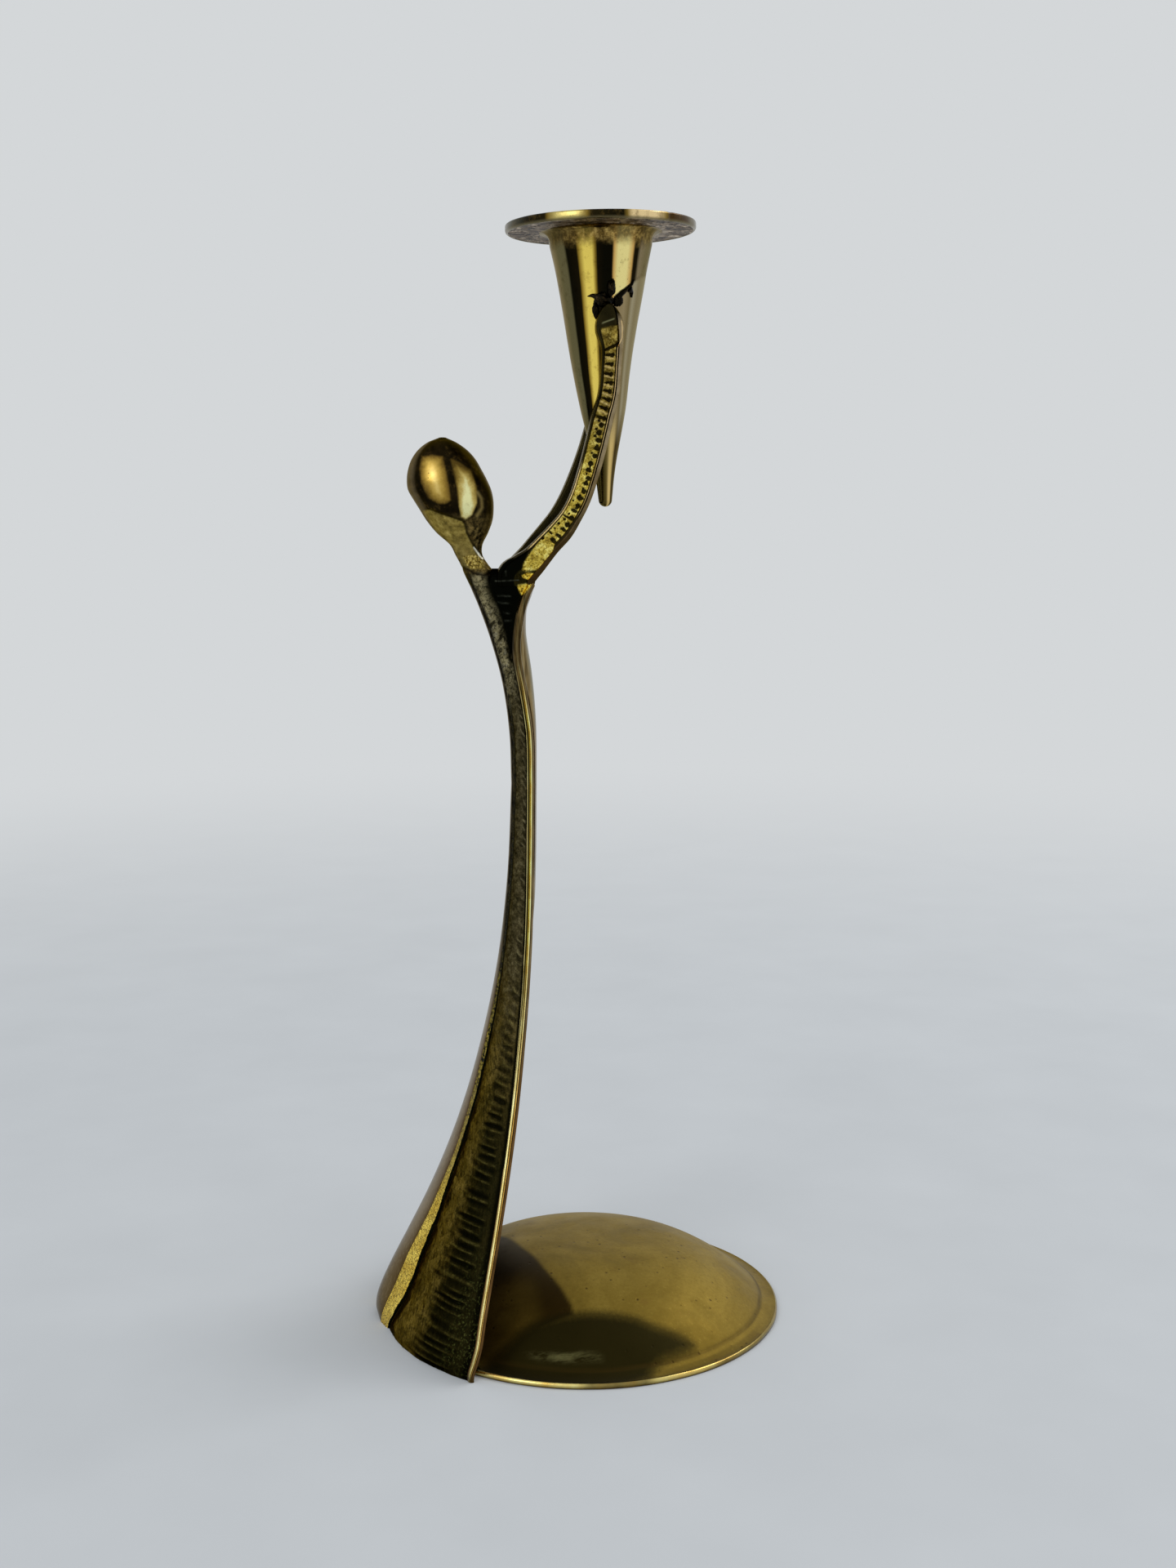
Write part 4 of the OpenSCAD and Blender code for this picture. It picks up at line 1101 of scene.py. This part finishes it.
def build_arm(name, bend, mirror, node, seed, pull):
    """pull is how far the back edge stands in at the shoulder, in millimetres."""
    rows, pits = arm_rows(bend), arm_pits(seed)
    last, count = len(rows) - 1, 440
    rings, length, before = [], 0, None
    for j in range(count + 1):
        t = last * j / count
        here = [along(t, rows, k) for k in (1, 2, 3)]
        length += math.dist(here, before or here)
        before = here
        lo, hi = max(t - 0.05, 0), min(t + 0.05, last)
        run = (along(hi, rows, 1) - along(lo, rows, 1), along(hi, rows, 3) - along(lo, rows, 3))
        across = (run[1] / math.hypot(*run), -run[0] / math.hypot(*run)) if j else (1, 0)
        d, w = along(t, rows, 4) / 2, along(t, rows, 5) / 2
        rear = -d + pull * (1 - ease(t, 1.4, 3.2))
        front = d - 1.1 * (1 - ease(t, 0.2, 2.8))
        front -= ease(t, 0, 1.6) * mix(0.85, 0.35, ease(t, 4.4, 6.6))
        small = min(1, d / 2, w / 1.5)
        back_r, inner_r = BACK_R * small, INNER_R * small
        front_d, front_w = (1 - FRONT_SHARE) * (front - rear), min(FRONT_W, w)
        outer = ease(length, 17, 36)
        ring = []
        for kind, s in ARM_COLUMNS:
            share, found = 0, {}
            cos, sin = math.cos(math.radians(90 * s)), math.sin(math.radians(90 * s))
            if kind == "back":
                # painted highlight along the back edge
                found = {"bright": ease(s, 0.4, 0.6) * hill(length, 3, 7, 34, 48)}
                p, q = rear + back_r - back_r * cos, w - back_r + back_r * sin
            elif kind == "face":
                share = s
                low, found = arm_face(s, length, pits, seed)
                p, q = mix(rear, front, s), w - low * small
            elif kind == "front":
                share = mix(FRONT_SHARE, 1, s)
                found = {"tan": outer, "bright": arm_ridge(share, length)}
                p, q = front - front_d + front_d * sin, w - front_w + front_w * cos
            elif kind == "low":
                share, found = 1, {"tan": outer}
                p, q = front - inner_r + inner_r * cos, -w + inner_r - inner_r * sin
            elif kind == "flat":
                p, q = mix(front - inner_r, rear + inner_r, s), -w
            else:
                p, q = rear + inner_r - inner_r * sin, -w + inner_r - inner_r * cos
            x, y, z = here[0] + across[0] * p, here[1] + q, here[2] + across[1] * p
            marks = dict.fromkeys(("gold", "bright", "tan", "pit", "fold"), 0)
            marks.update(found, side=share, reach=length / 100)
            marks.update(shoulder_marks(x, z if kind in ("back", "face") else 0))
            ring.append((x + FRAME_X, -y if mirror else y, z, marks))
        rings.append(ring)
    make(name, rings, [arm_brass], "arm_brass", node, flip=not mirror)


def arm_paint():
    """Black brass with a granular gold channel, bright ridges of painted highlight and a tan outer
    band.
    """
    p = Paint("arm_cast_brass")
    reach, side = p.attr("reach"), p.attr("side")
    cloud = p.noise(6, 5, 0.6)
    p.colour = p.ramp(cloud, [(0.3, 16, 15, 7), (0.7, 44, 38, 18)])
    low = p.mul(p.rise(side, 0.7, 0.8), p.fall(reach, 0.15, 0.34))
    p.lay(p.ramp(cloud, [(0.3, 40, 28, 12), (0.7, 72, 54, 28)]), low)
    grey = p.ramp(p.noise(3, 5), [(0.3, 116, 100, 72), (0.7, 152, 136, 106)])
    brown = p.ramp(p.noise(3, 5), [(0.3, 84, 68, 42), (0.7, 122, 104, 72)])
    tan = p.blend(p.rise(reach, 0.34, 0.48), brown, grey)
    tan = p.blend(p.rise(reach, 0.83, 0.86), tan, rgb(16, 15, 8))
    p.lay(tan, p.attr("tan"))
    spots = p.noise(2.2, 4, 0.7)
    fresh = p.ramp(spots, [(0.34, 134, 112, 38), (0.5, 188, 164, 64), (0.64, 228, 210, 116)])
    aged = p.ramp(spots, [(0.34, 70, 56, 20), (0.5, 122, 102, 40), (0.66, 170, 148, 72)])
    gold = p.blend(p.ramp(reach, [(0.4, 0), (0.58, 1), (1, 1)]), fresh, aged)
    # painted highlights on the channel's bumps
    wave = p.add(p.mul(reach, 100 / 2.6 * 2 * math.pi), p.mul(side, 2))
    swell = p.rise(p.math("SINE", wave), 0.5, 1, 0.7)
    swell = p.mul(swell, p.ramp(reach, [(0.5, 0), (0.58, 1), (0.74, 1), (0.75, 0)]))
    gold = p.blend(swell, gold, tone(196, 172, 108))
    speck = p.noise(0.55, 4, 0.75)
    gold = p.blend(p.fall(speck, 0.38, 0.47, 0.8), gold, tone(66, 50, 12))
    gold = p.blend(p.rise(speck, 0.6, 0.72, 0.6), gold, tone(244, 228, 150))
    p.lay(gold, p.attr("gold"))
    # painted shade in the pits
    jag = p.add(p.attr("pit"), p.waver(p.noise(0.7, 3), 0.9))
    p.lay(rgb(20, 14, 5), p.rise(jag, 0.2, 0.5, 0.97))
    # painted highlight along the ridges
    low_line = p.ramp(p.noise(5, 4), [(0.3, 150, 124, 70), (0.7, 206, 182, 128)])
    shine = p.blend(p.rise(reach, 0.5, 0.64), low_line, tone(216, 186, 132))
    p.lay(shine, p.rise(p.attr("bright"), 0.3, 0.75))
    # painted highlight along the hand's fold
    p.lay(tone(120, 118, 84), p.attr("fold"), 0.8)
    p.marks()
    rough = p.ramp(p.attr("gold"), [(0, 0.24), (1, 0.4)])
    return p.finish(rough, speck, 0.12, tint=(0.66, 0.58, 0.42))


# Candle cup and drip pan

TILT = (Matrix.Translation((FRAME_X + CUP_X, 0, HAND_Z))
        @ Matrix.Rotation(math.radians(-CUP_TILT), 4, "Y")
        @ Matrix.Translation((0, 0, CUP_Z - HAND_Z)))


def turned(name, profile, turns, shape, paints, node, **options):
    """A piece around the cup's axis; its turn runs from 0 at the camera's left to 1."""
    rings = []
    for r, z, kind in profile:
        ring = []
        for a in around(turns):
            dr, dz = shape(r, z, kind, a)
            place = TILT @ Vector(((r + dr) * math.cos(a), (r + dr) * math.sin(a), z + dz))
            ring.append((*place, {"turn": (math.cos(a + CAMERA_TURN) + 1) / 2, "up": z / CUP_H,
                                  "part": kind}))
        rings.append(ring)
    make(name, rings, paints, "polished_brass", node, caps=False, sharp=50, **options)


def cup_paint():
    p = Paint("cup_polished_brass")
    turn, up = p.attr("turn"), p.attr("up")
    grey, tan = tone(92, 86, 58), tone(126, 112, 84)
    black, dark_reflection = tone(12, 11, 5), tone(22, 17, 7)
    gold, gold_dark = tone(224, 198, 92), tone(136, 110, 38)
    pale, pale_dark = rgb(255, 238, 156), tone(196, 156, 86)
    # painted reflections: bands over the turn from the camera's left
    p.colour = bands(p, turn, [(0, tan), (0.06, grey), (0.128, grey), (0.15, black),
                               (0.25, dark_reflection), (0.268, gold_dark), (0.32, gold), (0.4, gold),
                               (0.43, gold_dark), (0.452, dark_reflection), (0.52, black), (0.61, black),
                               (0.63, pale_dark), (0.67, pale), (0.77, pale), (0.82, pale_dark),
                               (0.838, dark_reflection), (0.872, dark_reflection), (0.9, tan), (1, grey)], 0.024, 16)
    worn = p.rise(p.noise(3, 6, 0.72), 0.54, 0.68, 0.4)
    p.lay(tone(104, 84, 30), worn, kind="MULTIPLY")
    # painted reflections on the lower right of the cup
    slant = p.sub(up, p.mul(p.sub(turn, 0.62), 0.23))
    below = p.mul(p.fall(slant, 0.72, 0.73), p.rise(turn, 0.56, 0.6))
    shade = p.ramp(turn, [(0.6, 128, 108, 72), (0.78, 140, 124, 90), (0.84, 112, 98, 64),
                          (0.88, 150, 140, 112), (0.93, 128, 116, 86), (1, 140, 132, 104)])
    p.lay(shade, below)
    dull = p.ramp(p.noise(2, 5, 0.75),
                  [(0.36, 44, 34, 14), (0.5, 104, 82, 38), (0.66, 176, 148, 84)])
    rise = p.add(up, p.waver(p.noise(5, 3), 0.05))
    # painted shade at both sides under the pan
    ends = p.ramp(turn, [(0.1, 0.75), (0.3, 0), (0.84, 0), (0.92, 0.5)])
    dull = p.blend(ends, dull, tone(46, 38, 20))
    p.lay(dull, p.rise(rise, 0.9, 0.935, 0.9))
    # painted reflections near the tip
    streak = p.ramp(turn, [(0.5, 72, 62, 28), (0.6, 104, 88, 46), (0.7, 206, 178, 112),
                           (0.78, 196, 168, 104), (0.86, 60, 48, 22), (1, 84, 72, 44)])
    p.lay(streak, p.fall(up, 0.22, 0.34))
    inside = p.rise(p.attr("part"), 0.4, 0.6)
    p.lay(p.ramp(p.noise(4, 5), [(0.3, rgb(60, 46, 20)), (0.7, rgb(110, 88, 44))]), inside)
    hole = p.pits(1.6, (0.05, 0.14), p.noise(4, 2), 0.56, 0.64)
    p.lay(rgb(50, 36, 12), hole, 0.6)
    shine = p.ramp(p.noise(4, 5), [(0.3, 0.16), (0.75, 0.32)])
    return p.finish(shine, p.sub(p.mul(worn, 0.2), hole), 0.05, tint=(0.74, 0.68, 0.54))


def build_cup():
    profile = [(0, 0, 0)] + arc((0, TIP_R), cup_side(0)[0], -90, 0, 10, rise=TIP_R)[:-1]
    profile += [(*cup_side(i / 120), 0) for i in range(121)]
    profile += arc((CUP_R + PAN_FILLET, CUP_SIDE_H), -PAN_FILLET, 0, 90, 12, rise=PAN_FILLET)
    neck = PAN_HOLE_R - PAN_GAP
    profile += [(neck, CUP_UNDER, 0), (neck, CUP_H - NECK_BEVEL, 0), (neck - NECK_BEVEL, CUP_H, 0),
                (BORE_R + BORE_BEVEL, CUP_H, 0)]
    profile += [(BORE_R, mix(CUP_H - BORE_BEVEL, CUP_H - BORE_DEPTH, i / 12), 1)
                for i in range(13)]
    profile += [(BORE_R * (1 - i / 6), CUP_H - BORE_DEPTH - DRILL_TIP * i / 6, 1)
                for i in range(1, 7)]

    def shape(r, z, kind, a):
        if kind or r < 0.01 or z > CUP_UNDER - 0.01:
            return 0, 0
        x, y = r * math.cos(a), r * math.sin(a)
        dent = 0.05 * grain(x, y, z, 14, 21) - 0.05
        dent -= 0.5 * math.cos(a + CAMERA_TURN) * bell(z, 43, 15)
        if z > CUP_SIDE_H - 1:
            dent += 0.14 * grain(x, y, z, 2.4, 22) - 0.1
        return dent, 0

    turned("candle_cup_cone", profile, 192, shape, [cup_paint()], "candle_cup", weld=True)


def pan_edge_paint():
    p = Paint("pan_edge_brass")
    turn, up = p.attr("turn"), p.attr("up")
    black, dark_reflection = tone(18, 16, 7), tone(34, 28, 12)
    olive, grey = tone(62, 58, 34), tone(96, 86, 62)
    gold, gold_dark = tone(182, 166, 100), tone(116, 94, 38)
    tan, brown = tone(222, 196, 144), tone(64, 46, 22)
    # painted reflections: bands over the turn from the camera's left
    p.colour = bands(p, turn,
                     [(0, grey), (0.03, olive), (0.12, black), (0.22, dark_reflection), (0.235, gold_dark),
                      (0.28, gold), (0.38, gold), (0.43, gold_dark), (0.45, dark_reflection), (0.61, black),
                      (0.63, gold_dark), (0.66, tan), (0.78, tan), (0.83, gold_dark),
                      (0.85, brown), (0.94, brown), (0.96, grey), (1, grey)], 0.024, 12)
    worn = p.rise(p.noise(2.6, 6, 0.7), 0.5, 0.68, 0.55)
    p.lay(tone(92, 72, 34), worn)
    # painted highlight along the top edge
    line = p.fall(up, 0.974, 0.978)
    p.lay(tone(104, 94, 66), line, 0.8)
    return p.finish(p.ramp(p.noise(4, 4), [(0.3, 0.18), (0.7, 0.32)]), p.noise(0.8, 3), 0.02)


def pan_under_paint():
    """The cast underside of the pan: dull grey brown with pits and slag lines."""
    p = Paint("pan_under_brass")
    cloud = p.noise(4, 6, 0.7, twist=0.8)
    p.colour = p.ramp(cloud, [(0.38, 46, 34, 22), (0.5, 116, 98, 76), (0.62, 188, 172, 150)])
    wander = p.noise(3.2, 3, 0.6, twist=1.2)
    scar = p.mul(p.fall(p.math("ABSOLUTE", p.sub(wander, 0.5)), 0.02, 0.04),
                 p.rise(p.noise(5, 3), 0.44, 0.54))
    pit = p.rise(p.noise(2.2, 4, 0.65), 0.56, 0.6)
    hole = p.math("MAXIMUM", scar, pit)
    p.lay(rgb(22, 15, 8), hole, 0.9)
    fine = p.noise(0.8, 4, 0.7)
    high = p.sub(fine, p.mul(hole, 1.6))
    return p.finish(0.46, high, 0.2)


def build_pan():
    profile = [(mix(PAN_HOLE_R, PAN_R - PAN_LOW_R, i / 28), CUP_UNDER, 0) for i in range(29)]
    profile += arc((PAN_R - PAN_LOW_R, CUP_UNDER + PAN_LOW_R), PAN_LOW_R, -90, 0, 8, 1)
    profile += arc((PAN_R - PAN_TOP_R, CUP_H - PAN_TOP_R), PAN_TOP_R, 0, 90, 8, 1)
    profile += [(mix(PAN_R - PAN_TOP_R, PAN_HOLE_R, i / 24), CUP_H, 2) for i in range(1, 25)]
    profile.append((PAN_HOLE_R, CUP_UNDER, 2))
    fillet = CUP_R + PAN_FILLET

    def shape(r, z, kind, a):
        x, y = r * math.cos(a), r * math.sin(a)
        if kind == 1:
            nick = 0.4 * bell((a - PAN_NICK) * PAN_R, 0, 0.5)
            return 0.05 * grain(x, y, z, 7, 32) - 0.05 - nick, 0
        if r <= PAN_HOLE_R + 0.5:
            return 0, 0
        if kind == 2:
            return 0, 0.06 * grain(x, y, 0, 9, 33) - 0.1
        high = 0.16 + 0.16 * grain(x, y, 0, 2.2, 31) + 0.1 * grain(x, y, 0, 0.9, 34)
        return 0, mix(0.02, high, ease(r, fillet, fillet + 2.5))

    top = brass("pan_top_brass", tone(108, 88, 44), tone(140, 116, 62), tone(172, 146, 86),
                rough=(0.24, 0.4), spot=10)
    turned("drip_pan_disc", profile, 240, shape, [pan_under_paint(), pan_edge_paint(), top],
           "drip_pan", cell=lambda _, j: profile[j + 1][2])


# Brazing


def braze_paint():
    p = Paint("braze_dark_metal")
    cloud = p.noise(1.6, 5, 0.7)
    p.colour = p.ramp(cloud,
                      [(0.3, rgb(8, 8, 6)), (0.55, rgb(22, 19, 12)), (0.78, rgb(66, 50, 30))])
    return p.finish(p.ramp(p.noise(1, 3), [(0.35, 0.08), (0.7, 0.4)]), cloud, 0.12)


def tube(points, sizes):
    """Rings along a line of points."""
    rings = []
    for j, (place, size) in enumerate(zip(points, sizes)):
        go = Vector(points[min(j + 1, len(points) - 1)]) - Vector(points[max(j - 1, 0)])
        side = go.cross(Vector((0, 1, 0))).normalized()
        lift = side.cross(go.normalized())
        rings.append([tuple(Vector(place) + size * (side * math.cos(a) + lift * math.sin(a)))
                      for a in around(10)])
    return rings


def on_cup(u, z, lift, sign):
    """A point on the cup's side at that distance ahead and height, raised by lift."""
    r = cup_radius(z) + lift
    x = clamp(u - CUP_X, -r, r)
    return (u + FRAME_X, sign * math.sqrt(max(r * r - x * x, 0)), z)


def blob(name, place, size, lean, seed, material, node=None):
    """An uneven bead of molten metal, leaning by that many degrees in the side view."""
    turn = Matrix.Rotation(math.radians(lean), 3, "Y")
    rings = []
    for j in range(29):
        v = math.pi * j / 28
        ring = []
        for a in around(40):
            n = Vector((math.sin(v) * math.cos(a), math.sin(v) * math.sin(a), -math.cos(v)))
            swell = 1 + 0.3 * noise.noise(n * 1.6 + Vector((seed, 5.1, 0.3)))
            swell += 0.17 * noise.noise(n * 4.2 + Vector((1.3, 2.2, seed)))
            reach = Vector([n[k] * size[k] for k in range(3)]) * swell
            ring.append(tuple(Vector(place) + turn @ reach))
        rings.append(ring)
    return make(name, rings, [material], "braze_metal", node, caps=False, weld=True, sharp=80)


# Beads and runs of brazing metal: (distance ahead, height, lift), sizes, lean; then thin lines
BEADS = [((3.6, 305.2, 0.6), (2.9, 1.5, 1.9), 10), ((5.7, 308.6, 0.6), (1.15, 1.1, 2.4), 6),
         ((1.4, 302.6, 0.4), (0.95, 0.9, 2.6), -6), ((7.8, 305.2, 0.1), (1.5, 0.7, 1.7), 20)]
RUNS = [[(7.6, 306), (9, 307.3), (10.7, 308.7), (12, 309.9), (12.7, 311.2)],
        [(11.2, 308.6), (12, 307.8), (12.1, 306.3)],
        [(1.8, 306.1), (0.4, 306.5), (-0.9, 306.3)]]


def build_braze(name, sign, node):
    """Lumps of brazing metal over the fingertips, with thin runs on the cup."""
    dark = braze_paint()
    pieces = []
    for k, ((u, z, lift), size, lean) in enumerate(BEADS):
        pieces.append(blob(f"{name}_bead_{k}" if k else name, on_cup(u, z, lift, sign), size, lean,
                           2 * sign + k, dark, None if k else node))
    for k, line in enumerate(RUNS):
        places = [(mix(a[0], b[0], i / 5), mix(a[1], b[1], i / 5))
                  for a, b in zip(line, line[1:]) for i in range(5)] + [line[-1]]
        points = [on_cup(u, z, 0.02, sign) for u, z in places]
        sizes = [0.75 * (1 - i / len(places)) + 0.16 + 0.16 * grain(u, 0, z, 1.1, k)
                 for i, (u, z) in enumerate(places)]
        pieces.append(make(f"{name}_run_{k + 1}", tube(points, sizes), [dark], "braze_metal",
                           sharp=80))
    for piece in pieces[1:]:
        piece.parent = pieces[0]


arm_brass = arm_paint()
build_foot()
build_body()
build_head()
build_arm("figure_right_arm", 0, True, "right_arm", 5, 0.1)
build_arm("figure_left_arm", ARM_BEND, False, "left_arm", 9, 0.9)
build_cup()
build_pan()
build_braze("right_hand_lump", -1, "right_hand_braze")
build_braze("left_hand_lump", 1, "left_hand_braze")
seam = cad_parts["foot_braze"]
seam.data.materials.clear()
seam.data.materials.append(braze_paint())

# Floor, light and camera

WALL = rgb(212, 215, 217)
FLOOR_NEAR, FLOOR_FAR = 0.25, 1.3


def floor_paint():
    """Pale table top; far off it takes the tone behind it, so that no horizon shows."""
    p = Paint("pale_floor")
    pale = p.ramp(p.noise(60, 3), [(0.3, rgb(203, 206, 209)), (0.7, rgb(207, 210, 213))])
    away = p.node("ShaderNodeVectorMath", {0: p.place}, operation="LENGTH").outputs["Value"]
    far = p.node("ShaderNodeMapRange",
                 {"Value": away, "From Min": FLOOR_NEAR, "From Max": FLOOR_FAR},
                 interpolation_type="SMOOTHSTEP").outputs[0]
    ray = p.node("ShaderNodeLightPath").outputs
    seen = p.math("MAXIMUM", p.math("MAXIMUM", ray["Is Camera Ray"], ray["Is Glossy Ray"]),
                  ray["Is Transmission Ray"])
    both = p.node("ShaderNodeMixShader", {
        0: p.mul(far, seen),
        1: p.node("ShaderNodeBsdfDiffuse", {"Color": pale}).outputs[0],
        2: p.node("ShaderNodeEmission", {"Color": WALL, "Strength": 1}).outputs[0]})
    p.node("ShaderNodeOutputMaterial", {"Surface": both.outputs[0]})
    return p.material


bpy.ops.mesh.primitive_plane_add(size=14, location=(0, 0, 0))
floor = bpy.context.object
floor.name = "floor"
floor.data.materials.append(floor_paint())

world = bpy.data.worlds.new("studio")
bpy.context.scene.world = world
world.use_nodes = True
world.node_tree.nodes["Background"].inputs["Color"].default_value = WALL
world.node_tree.nodes["Background"].inputs["Strength"].default_value = 1


def lamp(name, place, target, size, power):
    data = bpy.data.lights.new(name, "AREA")
    data.shape = "RECTANGLE"
    data.size, data.size_y = size
    data.energy = power
    obj = bpy.data.objects.new(name, data)
    obj.location = place
    obj.rotation_euler = (Vector(target) - Vector(place)).to_track_quat("-Z", "Y").to_euler()
    bpy.context.scene.collection.objects.link(obj)


lamp("key", (1.3, 0.4, 1.5), (0, 0, 0.1), (0.9, 0.9), 9)
lamp("fill", (-1.2, -1.2, 1.1), (0, 0, 0.15), (0.7, 1.1), 5)

camera = bpy.data.objects.new("camera", bpy.data.cameras.new("camera"))
camera.data.lens = 42.587
camera.data.sensor_width = 36
camera.data.clip_start, camera.data.clip_end = 0.01, 50
camera.location = (-0.07367, -0.54875, 0.24373)
camera.rotation_euler = (math.radians(81.837), 0, -CAMERA_TURN)
bpy.context.scene.collection.objects.link(camera)
bpy.context.scene.camera = camera
bpy.context.scene.view_settings.view_transform = "Standard"
